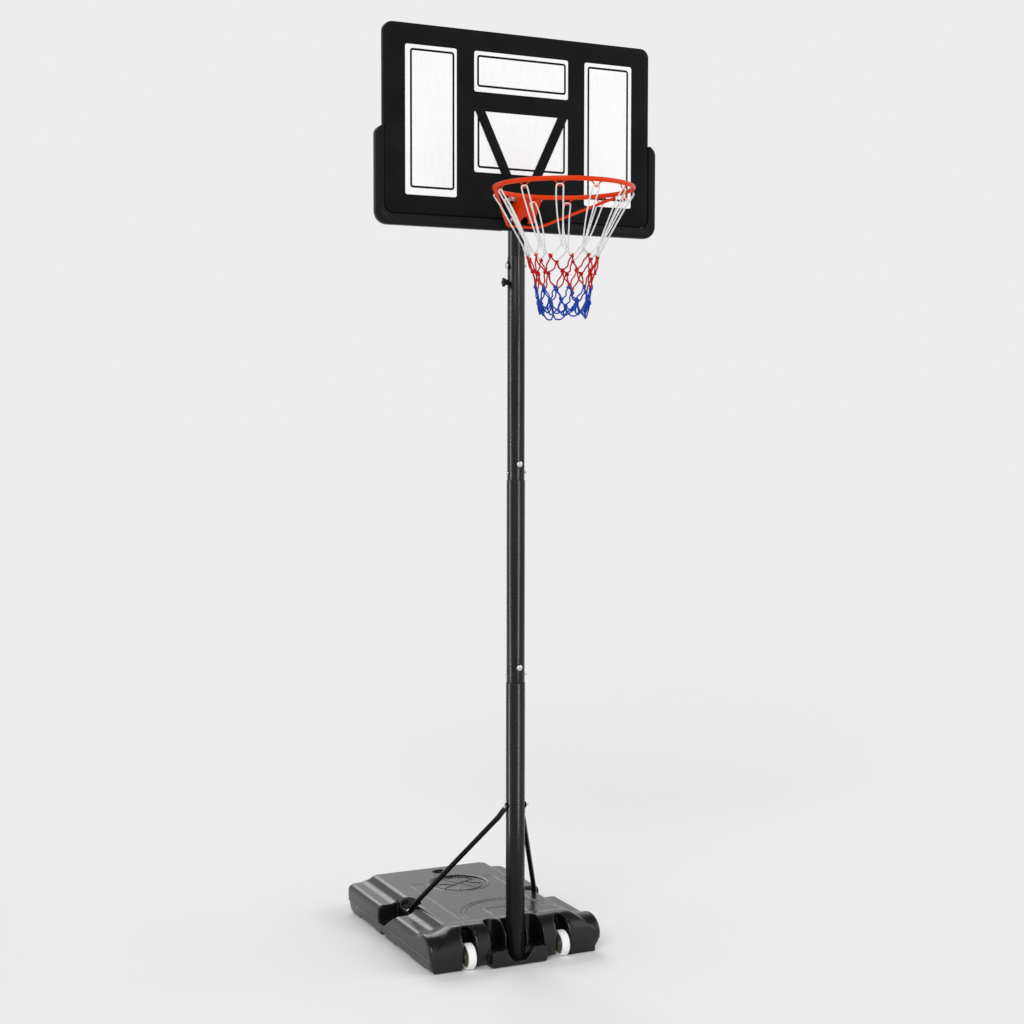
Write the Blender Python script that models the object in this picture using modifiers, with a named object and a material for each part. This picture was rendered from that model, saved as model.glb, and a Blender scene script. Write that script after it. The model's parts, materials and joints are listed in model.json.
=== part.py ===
"""Portable basketball hoop: ballast tank, stacked pole, telescoping mast, board and sprung rim.

Metres, +Z up. The origin is on the floor under the pole's axis and the rim points toward -Y.
"""
import math

import bmesh
import bpy
from mathutils import Vector

# ---- driving dimensions ------------------------------------------------------------------
TOUCH_GAP = 0.0003  # left between pieces that touch

TANK_HALF_WIDTH = 0.345
TANK_BACK_Y = 0.872
SHOULDER_Z = 0.118
DECK_Z = 0.150
ROLL_Y = 0.055
ROLL_Z = 0.068
ROLL_RADIUS = 0.080
WALL = 0.006
NOTCH_Y = 0.486
NOTCH_FRONT_Y = 0.352
NOTCH_BACK_Y = 0.510
POCKET_FLOOR_Z = 0.056
SHELF_Z = 0.112
BRACE_FOOT_X = 0.262
BRACE_FOOT_Y = 0.404
FILLER_X = 0.015
FILLER_Y = 0.770

WHEEL_X = 0.190
WHEEL_RADIUS = 0.0475
WHEEL_WIDTH = 0.031
AXLE_RADIUS = 0.005

POLE_FOOT_Z = 0.0193
LOWER_JOINT_Z = 1.043
UPPER_JOINT_Z = 1.786
SLEEVE_TOP_Z = 2.594
BOTTOM_POLE_RADIUS = 0.0350
MIDDLE_POLE_RADIUS = 0.0335
SLEEVE_RADIUS = 0.03175
INNER_POLE_RADIUS = 0.0300
POLE_WALL = 0.0018
SWAGE_LENGTH = 0.090
INNER_POLE_LOW_Z = 2.150
INNER_POLE_TOP_Z = 3.200
HEIGHT_TRAVEL = 0.260

BRACE_TOP_Z = 0.585
BRACE_RADIUS = 0.0095
HEIGHT_BOLT_Z = 2.560
CLAMP_Z = 2.500
BOLT_RADIUS = 0.004

BOARD_FRONT_Y = -0.045
BOARD_BACK_Y = -0.012
BOARD_HALF_WIDTH = 0.525
BOARD_TOP_Z = 3.378
BOARD_LOW_Z = 2.720
BOARD_SKIN = 0.010
GUARD_HALF_WIDTH = 0.556
GUARD_LOW_Z = 2.680
GUARD_TOP_Z = 3.020
SIDE_WINDOW = (0.253, 0.448, 2.786, 3.304)
TOP_WINDOW = (-0.186, 0.186, 3.162, 3.304)
CENTRE_WINDOW = (-0.186, 0.186, 2.880, 3.095)
WINDOW_THICKNESS = 0.002

RIM_Y = -0.378
RIM_Z = 2.791
RIM_INNER_RADIUS = 0.2285
RIM_TUBE_RADIUS = 0.008
HOOK_COUNT = 12
SPRING_X = 0.050
SPRING_Z = 2.792
SPRING_LENGTH = 0.036
LOWER_BOLT_X = 0.045
LOWER_BOLT_Z = 2.718

# ---- scene ---------------------------------------------------------------------------------
for old in list(bpy.data.objects):
    bpy.data.objects.remove(old)

parts = bpy.data.collections.new("portable_basketball_hoop")
bpy.context.scene.collection.children.link(parts)
tools = bpy.data.collections.new("cutters")
bpy.context.scene.collection.children.link(tools)

COLOURS = {
    "tank_plastic": (0.020, 0.020, 0.021, 0.0, 0.42),
    "water": (0.45, 0.60, 0.66, 0.0, 0.10),
    "black_plastic": (0.016, 0.016, 0.017, 0.0, 0.45),
    "seal_rubber": (0.03, 0.03, 0.03, 0.0, 0.80),
    "wheel_plastic": (0.86, 0.86, 0.85, 0.0, 0.40),
    "zinc_steel": (0.62, 0.62, 0.60, 1.0, 0.32),
    "black_steel": (0.018, 0.018, 0.019, 0.3, 0.45),
    "board_plastic": (0.022, 0.022, 0.023, 0.0, 0.50),
    "window_white": (0.90, 0.90, 0.90, 0.0, 0.30),
    "rim_orange": (0.80, 0.07, 0.01, 0.1, 0.35),
    "cord_white": (0.90, 0.90, 0.88, 0.0, 0.85),
    "cord_red": (0.70, 0.02, 0.02, 0.0, 0.85),
    "cord_blue": (0.02, 0.08, 0.55, 0.0, 0.85),
}
materials = {}
for slot, (red, green, blue, metallic, roughness) in COLOURS.items():
    material = bpy.data.materials.new(slot)
    material.use_nodes = True
    shader = material.node_tree.nodes["Principled BSDF"]
    shader.inputs["Base Color"].default_value = (red, green, blue, 1.0)
    shader.inputs["Metallic"].default_value = metallic
    shader.inputs["Roughness"].default_value = roughness
    materials[slot] = material


# ---- shape helpers -----------------------------------------------------------------------
def solid(name, vertices, faces, slot=None):
    """A closed mesh object: a visible part with a material slot, or a cutter without one."""
    mesh = bpy.data.meshes.new(name)
    mesh.from_pydata([tuple(v) for v in vertices], [], faces)
    shape = bmesh.new()
    shape.from_mesh(mesh)
    bmesh.ops.recalc_face_normals(shape, faces=shape.faces)
    shape.to_mesh(mesh)
    shape.free()
    body = bpy.data.objects.new(name, mesh)
    if slot is None:
        tools.objects.link(body)
        body.hide_render = True
        body.display_type = "WIRE"
    else:
        parts.objects.link(body)
        mesh.materials.append(materials[slot])
    return body


def axes_of(axis):
    """Two cross directions and the long direction of an axis name such as X or -Y."""
    sign = -1.0 if axis.startswith("-") else 1.0
    along = Vector([sign if letter == axis[-1] else 0.0 for letter in "XYZ"])
    across = Vector((0.0, 1.0, 0.0)) if axis[-1] == "X" else Vector((1.0, 0.0, 0.0))
    return across, along.cross(across), along


def turned(name, profile, centre, axis, segments, slot=None, ring=False):
    """Spin (radius, along) points about an axis; ring joins the last point to the first."""
    across, up, along = axes_of(axis)
    centre = Vector(centre)
    vertices = []
    rows = []
    for radius, height in profile:
        row = []
        count = 1 if radius == 0.0 else segments
        for k in range(count):
            angle = 2.0 * math.pi * k / segments
            spoke = across * math.cos(angle) + up * math.sin(angle)
            row.append(len(vertices))
            vertices.append(centre + along * height + spoke * radius)
        rows.append(row)
    faces = []
    pairs = list(zip(rows, rows[1:]))
    if ring:
        pairs.append((rows[-1], rows[0]))
    for low, high in pairs:
        for k in range(segments):
            n = (k + 1) % segments
            if len(low) == 1:
                faces.append((low[0], high[n], high[k]))
            elif len(high) == 1:
                faces.append((low[k], low[n], high[0]))
            else:
                faces.append((low[k], low[n], high[n], high[k]))
    if not ring and len(rows[0]) > 1:
        faces.append(tuple(reversed(rows[0])))
    if not ring and len(rows[-1]) > 1:
        faces.append(tuple(rows[-1]))
    return solid(name, vertices, faces, slot)


def prism(name, outline, axis, low, high, slot=None):
    """Extrude an outline along X (outline is y, z), Y (x, z) or Z (x, y)."""
    def place(a, b, c):
        if axis == "X":
            return (c, a, b)
        if axis == "Y":
            return (a, c, b)
        return (a, b, c)

    count = len(outline)
    vertices = [place(a, b, low) for a, b in outline] + [place(a, b, high) for a, b in outline]
    faces = [tuple(range(count)), tuple(range(2 * count - 1, count - 1, -1))]
    for k in range(count):
        n = (k + 1) % count
        faces.append((k, n, count + n, count + k))
    return solid(name, vertices, faces, slot)


def box(name, low, high, slot=None):
    outline = [(low[0], low[1]), (high[0], low[1]), (high[0], high[1]), (low[0], high[1])]
    return prism(name, outline, "Z", low[2], high[2], slot)


def lofted(name, rows, slot=None):
    """Skin rows of points that all have the same count, and cap both ends."""
    count = len(rows[0])
    vertices = [point for row in rows for point in row]
    faces = [tuple(range(count)), tuple(range(len(vertices) - 1, len(vertices) - count - 1, -1))]
    for r in range(len(rows) - 1):
        for k in range(count):
            n = (k + 1) % count
            a = r * count
            b = a + count
            faces.append((a + k, a + n, b + n, b + k))
    return solid(name, vertices, faces, slot)


def rod(name, points, radius, sides, slot=None):
    """A round bar along a line of points."""
    points = [Vector(p) for p in points]
    rows = []
    across = None
    for i, point in enumerate(points):
        before = points[max(i - 1, 0)]
        after = points[min(i + 1, len(points) - 1)]
        along = (after - before).normalized()
        if across is None:
            across = along.orthogonal().normalized()
        across = (across - along * across.dot(along)).normalized()
        up = along.cross(across)
        turns = [2.0 * math.pi * k / sides for k in range(sides)]
        rows.append([point + (across * math.cos(t) + up * math.sin(t)) * radius for t in turns])
    return lofted(name, rows, slot)


def rounded_outline(x_low, x_high, z_low, z_high, radius, steps=4):
    outline = []
    corners = ((x_high, z_low, -90.0), (x_high, z_high, 0.0), (x_low, z_high, 90.0), (x_low, z_low, 180.0))
    for x, z, start in corners:
        centre_x = x - radius if x == x_high else x + radius
        centre_z = z - radius if z == z_high else z + radius
        for k in range(steps + 1):
            angle = math.radians(start + 90.0 * k / steps)
            outline.append((centre_x + radius * math.cos(angle), centre_z + radius * math.sin(angle)))
    return outline


def frustum(name, low_rect, low_z, high_rect, high_z, slot=None):
    """A block with one rectangle (x_low, x_high, y_low, y_high) below and another above."""
    rows = []
    for (x_low, x_high, y_low, y_high), z in ((low_rect, low_z), (high_rect, high_z)):
        rows.append([(x_low, y_low, z), (x_high, y_low, z), (x_high, y_high, z), (x_low, y_high, z)])
    return lofted(name, rows, slot)


def bevel(body, width, segments=2, angle=40.0):
    modifier = body.modifiers.new("round", "BEVEL")
    modifier.width = width
    modifier.segments = segments
    modifier.limit_method = "ANGLE"
    modifier.angle_limit = math.radians(angle)
    body.modifiers.new("flat faces", "TRIANGULATE")
    return body


def combine(body, other, operation):
    modifier = body.modifiers.new(operation.lower(), "BOOLEAN")
    modifier.operation = operation
    modifier.solver = "EXACT"
    modifier.object = other


def cut(body, *others):
    for other in others:
        combine(body, other, "DIFFERENCE")


def join(body, *others):
    for other in others:
        combine(body, other, "UNION")


def drill(body, name, radius, low, high, centre, axis, segments=16):
    cut(body, turned(name, [(0.0, low), (radius, low), (radius, high), (0.0, high)], centre, axis, segments))


def hex_bolt(name, centre, axis, length, slot="zinc_steel", across=0.0065, radius=BOLT_RADIUS):
    """The shank starts at centre and runs along the axis; the head is behind it."""
    bolt = turned(name, [(0.0, -0.0052), (across * 0.86, -0.0052), (across, -0.0045), (across, 0.0), (0.0, 0.0)],
                  centre, axis, 6, slot)
    shank = [(0.0, -0.001), (radius, -0.001), (radius, length), (0.0, length)]
    join(bolt, turned(name + "_shank", shank, centre, axis, 16))
    return bolt


def domed_bolt(name, centre, axis, length, head, slot="zinc_steel", radius=BOLT_RADIUS):
    """A carriage bolt: a low round dome behind centre and a plain shank ahead of it."""
    profile = [(0.0, -0.0055), (head * 0.45, -0.0050), (head * 0.80, -0.0034), (head, -0.0010), (head, 0.0)]
    profile += [(radius, 0.0), (radius, length), (0.0, length)]
    return turned(name, profile, centre, axis, 20, slot)


def nut(name, centre, axis, slot="zinc_steel", across=0.0070, height=0.0060, hole=BOLT_RADIUS + TOUCH_GAP):
    body = turned(name, [(0.0, 0.0), (across, 0.0), (across, height), (0.0, height)], centre, axis, 6, slot)
    drill(body, name + "_hole", hole, -0.01, height + 0.01, centre, axis)
    return body


# ---- ballast tank ---------------------------------------------------------------------------
def notch_cutters(tag, grow):
    """The side notches for the struts; grow thickens them, to keep a wall round the cavity."""
    made = []
    for side, sign in (("left", -1.0), ("right", 1.0)):
        xs = sorted((sign * (0.264 - grow), sign * 0.420))
        outline = [(NOTCH_BACK_Y + grow, 0.300), (NOTCH_BACK_Y + grow, 0.050 - grow), (0.462 - grow, 0.050 - grow),
                   (NOTCH_FRONT_Y - grow, SHELF_Z), (NOTCH_FRONT_Y - grow, 0.300)]
        made.append(prism(tag + "_pocket_" + side, outline, "X", xs[0], xs[1]))
        xs = sorted((sign * (0.230 - grow), sign * (0.304 + grow)))
        made.append(box(tag + "_shelf_" + side, (xs[0], NOTCH_FRONT_Y - grow, SHELF_Z - grow),
                        (xs[1], NOTCH_BACK_Y - 0.030 + grow, 0.300)))
        xs = sorted((sign * (0.300 - grow), sign * 0.420))
        made.append(box(tag + "_grip_" + side, (xs[0], NOTCH_Y - 0.024 - grow, -0.05),
                        (xs[1], NOTCH_Y + 0.024 + grow, 0.016 + grow)))
    return made


def cavity(name, inset, slot=None):
    """The space inside the tank behind its solid front roll, less an inset on every side."""
    half = TANK_HALF_WIDTH - WALL - inset
    body = box(name, (-half, 0.094 + inset, 0.016 + inset),
               (half, TANK_BACK_Y - WALL - 0.004 - inset, SHOULDER_Z - WALL - inset), slot)
    bevel(body, 0.010, 1)
    deck = frustum(name + "_deck", (-0.276 + inset, 0.276 - inset, 0.100 + inset, 0.836 - inset), 0.090,
                   (-0.236 + inset, 0.236 - inset, 0.106 + inset, 0.820 - inset), DECK_Z - WALL - inset)
    join(body, deck)
    cut(body, *notch_cutters(name, WALL + inset))
    for side, sign in (("left", -1.0), ("right", 1.0)):
        drill(body, name + "_boss_" + side, 0.014 + inset, 0.074 - inset, 0.2,
              (sign * BRACE_FOOT_X, BRACE_FOOT_Y, 0.0), "Z")
    drill(body, name + "_neck", 0.032 + inset, DECK_Z - 0.022 - inset, 0.2, (FILLER_X, FILLER_Y, 0.0), "Z", 24)
    return body


side_profile = [(0.0, 0.0), (TANK_BACK_Y - 0.004, 0.0), (TANK_BACK_Y, 0.050), (TANK_BACK_Y - 0.003, SHOULDER_Z)]
side_profile += [(0.118, SHOULDER_Z), (0.088, 0.142)]
for k in range(9):
    angle = math.radians(80.0 + 16.5 * k)
    side_profile.append((ROLL_Y + ROLL_RADIUS * math.cos(angle), ROLL_Z + ROLL_RADIUS * math.sin(angle)))

base_tank = prism("base_tank", side_profile, "X", -TANK_HALF_WIDTH, TANK_HALF_WIDTH, "tank_plastic")
bevel(base_tank, 0.012, 3, 50.0)
raised_deck = frustum("raised_deck", (-0.292, 0.292, 0.045, 0.850), 0.100, (-0.246, 0.246, 0.060, 0.832), DECK_Z)
bevel(raised_deck, 0.008, 2)
join(base_tank, raised_deck)
foot_plate = box("foot_plate", (-0.112, -0.047, 0.0), (0.112, 0.080, POCKET_FLOOR_Z))
bevel(foot_plate, 0.005, 1)
join(base_tank, foot_plate)
join(base_tank, bevel(box("foot_lip", (-0.108, -0.0465, 0.010), (0.108, -0.0400, 0.064)), 0.002, 1))
for side, sign in (("left", -1.0), ("right", 1.0)):
    arch = [(sign * WHEEL_X - 0.0235, -0.02), (sign * WHEEL_X + 0.0235, -0.02)]
    for k in range(9):
        angle = math.pi * k / 8.0
        arch.append((sign * WHEEL_X + 0.0235 * math.cos(angle), 0.110 + 0.0235 * math.sin(angle)))
    cut(base_tank, prism("wheel_well_" + side, arch, "Y", -0.10, 0.070))
    xs = sorted((sign * 0.047, sign * 0.108))
    cut(base_tank, box("side_pocket_" + side, (xs[0], -0.0390, POCKET_FLOOR_Z), (xs[1], 0.0460, 0.30)))
    drill(base_tank, "round_pocket_" + side, 0.0300, POCKET_FLOOR_Z, 0.30, (sign * 0.0775, 0.046, 0.0), "Z", 20)
cut(base_tank, box("centre_pocket", (-0.040, -0.0390, POCKET_FLOOR_Z), (0.040, 0.056, 0.30)))
drill(base_tank, "pole_socket", BOTTOM_POLE_RADIUS + 0.0008, 0.0190, 0.30, (0.0, 0.0, 0.0), "Z", 32)
lip_notch = [(-0.026, 0.0195), (0.026, 0.0195), (0.062, 0.070), (-0.062, 0.070)]
cut(base_tank, prism("lip_notch", lip_notch, "Y", -0.10, -0.015))
cut(base_tank, *notch_cutters("notch", 0.0))
for low_y, high_y in ((0.210, 0.370), (0.580, 0.760)):
    for side, sign in (("left", -1.0), ("right", 1.0)):
        xs = sorted((sign * 0.285, sign * 0.420))
        cut(base_tank, box("foot_gap_%s_%03d" % (side, round(low_y * 1000.0)), (xs[0], low_y, -0.02),
                           (xs[1], high_y, 0.007)))
drill(base_tank, "axle_bore", AXLE_RADIUS + TOUCH_GAP, -0.2355, 0.2355, (0.0, 0.0, WHEEL_RADIUS), "X", 16)
for side, sign in (("left", -1.0), ("right", 1.0)):
    drill(base_tank, "foot_screw_hole_" + side, 0.0033, SHELF_Z - 0.024, SHELF_Z + 0.02,
          (sign * BRACE_FOOT_X, BRACE_FOOT_Y, 0.0), "Z")
cut(base_tank, cavity("tank_cavity", 0.0))
drill(base_tank, "filler_recess", 0.026, DECK_Z - 0.008, 0.20, (FILLER_X, FILLER_Y, 0.0), "Z", 32)
drill(base_tank, "filler_neck", 0.0165, 0.10, 0.20, (FILLER_X, FILLER_Y, 0.0), "Z", 24)

water = cavity("water_ballast", 0.0006, "water")

# screw cap with a grip bar, over a flat sealing ring
cap_profile = [(0.0, -0.0190), (0.0140, -0.0190), (0.0158, -0.0172), (0.0158, -0.0052), (0.0225, -0.0052)]
cap_profile += [(0.0225, -0.0006), (0.0212, 0.0006), (0.0, 0.0006)]
filler_cap = turned("filler_cap", cap_profile, (FILLER_X, FILLER_Y, DECK_Z), "Z", 32, "black_plastic")
join(filler_cap, bevel(box("cap_grip", (FILLER_X - 0.018, FILLER_Y - 0.0035, DECK_Z - 0.003),
                           (FILLER_X + 0.018, FILLER_Y + 0.0035, DECK_Z + 0.0065)), 0.0015, 1))
seal_profile = [(0.0166, -0.0077), (0.0222, -0.0077), (0.0222, -0.0055), (0.0166, -0.0055)]
turned("cap_seal", seal_profile, (FILLER_X, FILLER_Y, DECK_Z), "Z", 32, "seal_rubber", ring=True)

# ---- wheels and axle ------------------------------------------------------------------------
turned("wheel_axle", [(0.0, -0.235), (AXLE_RADIUS, -0.235), (AXLE_RADIUS, 0.235), (0.0, 0.235)],
       (0.0, 0.0, WHEEL_RADIUS), "X", 32, "zinc_steel")
half_wheel = WHEEL_WIDTH / 2.0
for side, sign in (("left", -1.0), ("right", 1.0)):
    rim = WHEEL_RADIUS
    wheel_profile = [(0.00508, -half_wheel), (0.0130, -half_wheel), (0.0130, -half_wheel + 0.007),
                     (rim - 0.0095, -half_wheel + 0.007), (rim - 0.0085, -half_wheel), (rim - 0.0025, -half_wheel),
                     (rim, -half_wheel + 0.0030), (rim, half_wheel - 0.0030), (rim - 0.0025, half_wheel),
                     (rim - 0.0085, half_wheel), (rim - 0.0095, half_wheel - 0.007),
                     (0.0130, half_wheel - 0.007), (0.0130, half_wheel), (0.00508, half_wheel)]
    turned("wheel_" + side, wheel_profile, (sign * WHEEL_X, 0.0, WHEEL_RADIUS), "X", 32, "wheel_plastic", ring=True)


# ---- pole -----------------------------------------------------------------------------------
def pole_tube(name, radius, low, high, swage):
    """A steel tube; its top end is reduced to the swage radius when there is one."""
    inner = radius - POLE_WALL
    if swage is None:
        profile = [(inner, low), (radius, low), (radius, high), (inner, high)]
    else:
        neck = high - SWAGE_LENGTH
        profile = [(inner, low), (radius, low), (radius, neck - 0.0014), (swage, neck - TOUCH_GAP), (swage, high)]
        profile += [(swage - POLE_WALL, high), (swage - POLE_WALL, neck - 0.004), (inner, neck - 0.010)]
    return turned(name, profile, (0.0, 0.0, 0.0), "Z", 32, "black_steel", ring=True)


pole_bottom = pole_tube("pole_bottom", BOTTOM_POLE_RADIUS, POLE_FOOT_Z, LOWER_JOINT_Z + SWAGE_LENGTH, 0.0312)
pole_middle = pole_tube("pole_middle", MIDDLE_POLE_RADIUS, LOWER_JOINT_Z, UPPER_JOINT_Z + SWAGE_LENGTH, 0.0294)
sleeve_inner = INNER_POLE_RADIUS + TOUCH_GAP
sleeve_profile = [(sleeve_inner, UPPER_JOINT_Z), (SLEEVE_RADIUS, UPPER_JOINT_Z), (SLEEVE_RADIUS, SLEEVE_TOP_Z),
                  (sleeve_inner, SLEEVE_TOP_Z)]
pole_sleeve = turned("pole_sleeve", sleeve_profile, (0.0, 0.0, 0.0), "Z", 32, "black_steel", ring=True)
pole_inner = pole_tube("pole_inner", INNER_POLE_RADIUS, INNER_POLE_LOW_Z, INNER_POLE_TOP_Z, None)
drill(pole_bottom, "pole_axle_hole", AXLE_RADIUS + TOUCH_GAP, -0.10, 0.10, (0.0, 0.0, WHEEL_RADIUS), "X")

plug = INNER_POLE_RADIUS - POLE_WALL - TOUCH_GAP
turned("pole_top_cap", [(0.0, -0.018), (plug - 0.002, -0.018), (plug, -0.016), (plug, TOUCH_GAP),
                        (INNER_POLE_RADIUS, TOUCH_GAP), (INNER_POLE_RADIUS, 0.003), (INNER_POLE_RADIUS - 0.004, 0.006),
                        (0.0, 0.006)], (0.0, 0.0, INNER_POLE_TOP_Z), "Z", 32, "black_plastic")

# bolts that pin each stacked joint: one from the side and one from the front
for tag, joint_z, outer, low_tube, high_tube in (
        ("lower", LOWER_JOINT_Z, MIDDLE_POLE_RADIUS, pole_bottom, pole_middle),
        ("upper", UPPER_JOINT_Z, SLEEVE_RADIUS, pole_middle, pole_sleeve)):
    reach = outer + TOUCH_GAP
    side_z = joint_z + 0.027
    front_z = joint_z + 0.057
    for number, tube in enumerate((low_tube, high_tube)):
        drill(tube, "%s_side_hole_%d" % (tag, number), BOLT_RADIUS + TOUCH_GAP, -0.1, 0.1, (0.0, 0.0, side_z), "X")
        drill(tube, "%s_front_hole_%d" % (tag, number), BOLT_RADIUS + TOUCH_GAP, -0.1, 0.1, (0.0, 0.0, front_z), "Y")
    hex_bolt(tag + "_side_bolt", (-reach, 0.0, side_z), "X", 2.0 * reach + 0.010)
    nut(tag + "_side_nut", (reach, 0.0, side_z), "X")
    domed_bolt(tag + "_front_bolt", (0.0, -reach, front_z), "Y", 2.0 * reach + 0.010, 0.0110)
    nut(tag + "_front_nut", (0.0, reach, front_z), "Y")

# height stop: a through bolt that runs in a long slot of the inner tube
slot_half = BOLT_RADIUS + TOUCH_GAP
slot_outline = []
for k in range(9):
    angle = math.pi * k / 8.0
    slot_outline.append((slot_half * math.cos(angle), HEIGHT_BOLT_Z + slot_half * math.sin(angle)))
for k in range(9):
    angle = math.pi + math.pi * k / 8.0
    slot_outline.append((slot_half * math.cos(angle),
                         HEIGHT_BOLT_Z - HEIGHT_TRAVEL - 0.002 + slot_half * math.sin(angle)))
cut(pole_inner, prism("height_slot", slot_outline, "X", -0.10, 0.10))
drill(pole_sleeve, "height_hole", BOLT_RADIUS + TOUCH_GAP, -0.1, 0.1, (0.0, 0.0, HEIGHT_BOLT_Z), "X")
saddle_x = -SLEEVE_RADIUS - TOUCH_GAP
height_saddle = turned("height_saddle", [(0.0, 0.0), (0.0125, 0.0), (0.0125, 0.0040), (0.0110, 0.0055), (0.0, 0.0055)],
                       (saddle_x, 0.0, HEIGHT_BOLT_Z + 0.003), "-X", 24, "black_plastic")
drill(height_saddle, "saddle_hole", BOLT_RADIUS + TOUCH_GAP, -0.1, 0.1, (0.0, 0.0, HEIGHT_BOLT_Z), "X")
head_x = saddle_x - 0.0055 - TOUCH_GAP
domed_bolt("height_bolt", (head_x, 0.0, HEIGHT_BOLT_Z), "X", SLEEVE_RADIUS - head_x + 0.009, 0.0095)
nut("height_nut", (SLEEVE_RADIUS + TOUCH_GAP, 0.0, HEIGHT_BOLT_Z), "X")

# clamp: a welded boss, a screw that presses on the tube and a lobed knob
CLAMP_RADIUS = 0.006
drill(pole_sleeve, "clamp_hole", CLAMP_RADIUS + TOUCH_GAP, -0.1, 0.0, (0.0, 0.0, CLAMP_Z), "X")
clamp_boss = turned("clamp_boss", [(0.0, 0.0), (0.0100, 0.0), (0.0100, 0.0060), (0.0090, 0.0070), (0.0, 0.0070)],
                    (saddle_x, 0.0, CLAMP_Z), "-X", 24, "black_steel")
drill(clamp_boss, "boss_hole", CLAMP_RADIUS + 0.00012, -0.1, 0.0, (0.0, 0.0, CLAMP_Z), "X", 32)
turned("clamp_screw", [(0.0, 0.0), (CLAMP_RADIUS, 0.0), (CLAMP_RADIUS, 0.0190), (0.0, 0.0190)],
       (-INNER_POLE_RADIUS - TOUCH_GAP, 0.0, CLAMP_Z), "-X", 32, "zinc_steel")
knob_back = saddle_x - 0.0070 - TOUCH_GAP
knob_outline = []
for k in range(40):
    angle = 2.0 * math.pi * k / 40
    reach = 0.0145 + 0.0025 * math.cos(5.0 * angle)
    knob_outline.append((reach * math.cos(angle), CLAMP_Z + reach * math.sin(angle)))
clamp_knob = prism("clamp_knob", knob_outline, "X", knob_back - 0.0150, knob_back, "black_plastic")
bevel(clamp_knob, 0.002, 1, 60.0)
drill(clamp_knob, "knob_bore", CLAMP_RADIUS + 0.00012, -0.0500, 0.0, (0.0, 0.0, CLAMP_Z), "X", 32)


# ---- struts ---------------------------------------------------------------------------------
def flat_round_bar(name, stations, slot):
    """A bar whose section changes from a flattened eye to a round tube and back."""
    rows = []
    for centre, wide, thick, half_wide, half_thick, power in stations:
        row = []
        for k in range(16):
            angle = 2.0 * math.pi * k / 16
            c = math.cos(angle)
            s = math.sin(angle)
            u = math.copysign(abs(c) ** (2.0 / power), c) * half_wide
            v = math.copysign(abs(s) ** (2.0 / power), s) * half_thick
            row.append(Vector(centre) + wide * u + thick * v)
        rows.append(row)
    return lofted(name, rows, slot)


eye_x = BOTTOM_POLE_RADIUS + TOUCH_GAP + 0.0026
for side, sign in (("left", -1.0), ("right", 1.0)):
    eye = Vector((sign * eye_x, 0.0, BRACE_TOP_Z))
    high = Vector((sign * 0.0490, 0.040, BRACE_TOP_Z - 0.046))
    low = Vector((sign * 0.2540, 0.362, SHELF_Z + 0.041))
    foot = Vector((sign * BRACE_FOOT_X, BRACE_FOOT_Y - 0.014, SHELF_Z + 0.0030))
    along = (low - high).normalized()
    flat_way = Vector((0.0, 0.655, -0.755))
    side_way = Vector((sign, 0.0, 0.0))
    thin_way = (side_way - along * side_way.dot(along)).normalized()
    broad_way = along.cross(thin_way).normalized()
    if broad_way.z < 0.0:
        broad_way = -broad_way
    eye_broad = Vector((0.0, 0.755, 0.655))
    level = Vector((0.0, 0.0, 1.0))
    stations = [
        (eye - flat_way * 0.0130, side_way, eye_broad, 0.0020, 0.0060, 3.0),
        (eye - flat_way * 0.0090, side_way, eye_broad, 0.0025, 0.0110, 4.0),
        (eye + flat_way * 0.0120, side_way, eye_broad, 0.0025, 0.0120, 4.0),
        (high, thin_way, broad_way, 0.0075, 0.0110, 2.4),
        (high + along * 0.030, thin_way, broad_way, BRACE_RADIUS, BRACE_RADIUS, 2.0),
        (low - along * 0.030, thin_way, broad_way, BRACE_RADIUS, BRACE_RADIUS, 2.0),
        (low, thin_way, broad_way, 0.0105, 0.0080, 2.2),
        (foot, side_way, level, 0.0125, 0.0026, 4.0),
        (foot + Vector((0.0, 0.0240, 0.0)), side_way, level, 0.0115, 0.0026, 4.0),
        (foot + Vector((0.0, 0.0290, 0.0)), side_way, level, 0.0060, 0.0022, 3.0),
    ]
    brace = flat_round_bar("brace_" + side, stations, "black_steel")
    drill(brace, "brace_eye_hole_" + side, BOLT_RADIUS + TOUCH_GAP, -0.1, 0.1, (0.0, 0.0, BRACE_TOP_Z), "X")
    drill(brace, "brace_foot_hole_" + side, 0.0036, 0.08, 0.14, (sign * BRACE_FOOT_X, BRACE_FOOT_Y, 0.0), "Z")
    top = SHELF_Z + 0.0059
    screw_profile = [(0.0, 0.0045), (0.0045, 0.0040), (0.0080, 0.0015), (0.0080, 0.0), (0.0030, 0.0)]
    screw_profile += [(0.0030, -0.0250), (0.0, -0.0280)]
    turned("brace_foot_screw_" + side, screw_profile, (sign * BRACE_FOOT_X, BRACE_FOOT_Y, top), "Z", 16, "zinc_steel")
drill(pole_bottom, "brace_hole", BOLT_RADIUS + TOUCH_GAP, -0.1, 0.1, (0.0, 0.0, BRACE_TOP_Z), "X")
brace_seat = eye_x + 0.0026 + TOUCH_GAP
hex_bolt("brace_bolt", (-brace_seat, 0.0, BRACE_TOP_Z), "X", 2.0 * brace_seat + 0.012)
nut("brace_nut", (brace_seat, 0.0, BRACE_TOP_Z), "X")


# ---- backboard ------------------------------------------------------------------------------
def slab(name, x_half, z_low, z_high, radius, layers, slot=None):
    """A rounded plate standing across Y, lofted through (y, inset) layers."""
    rows = []
    for y, inset in layers:
        outline = rounded_outline(-x_half + inset, x_half - inset, z_low + inset, z_high - inset, radius - inset * 0.5)
        rows.append([(x, y, z) for x, z in outline])
    return lofted(name, rows, slot)


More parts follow.
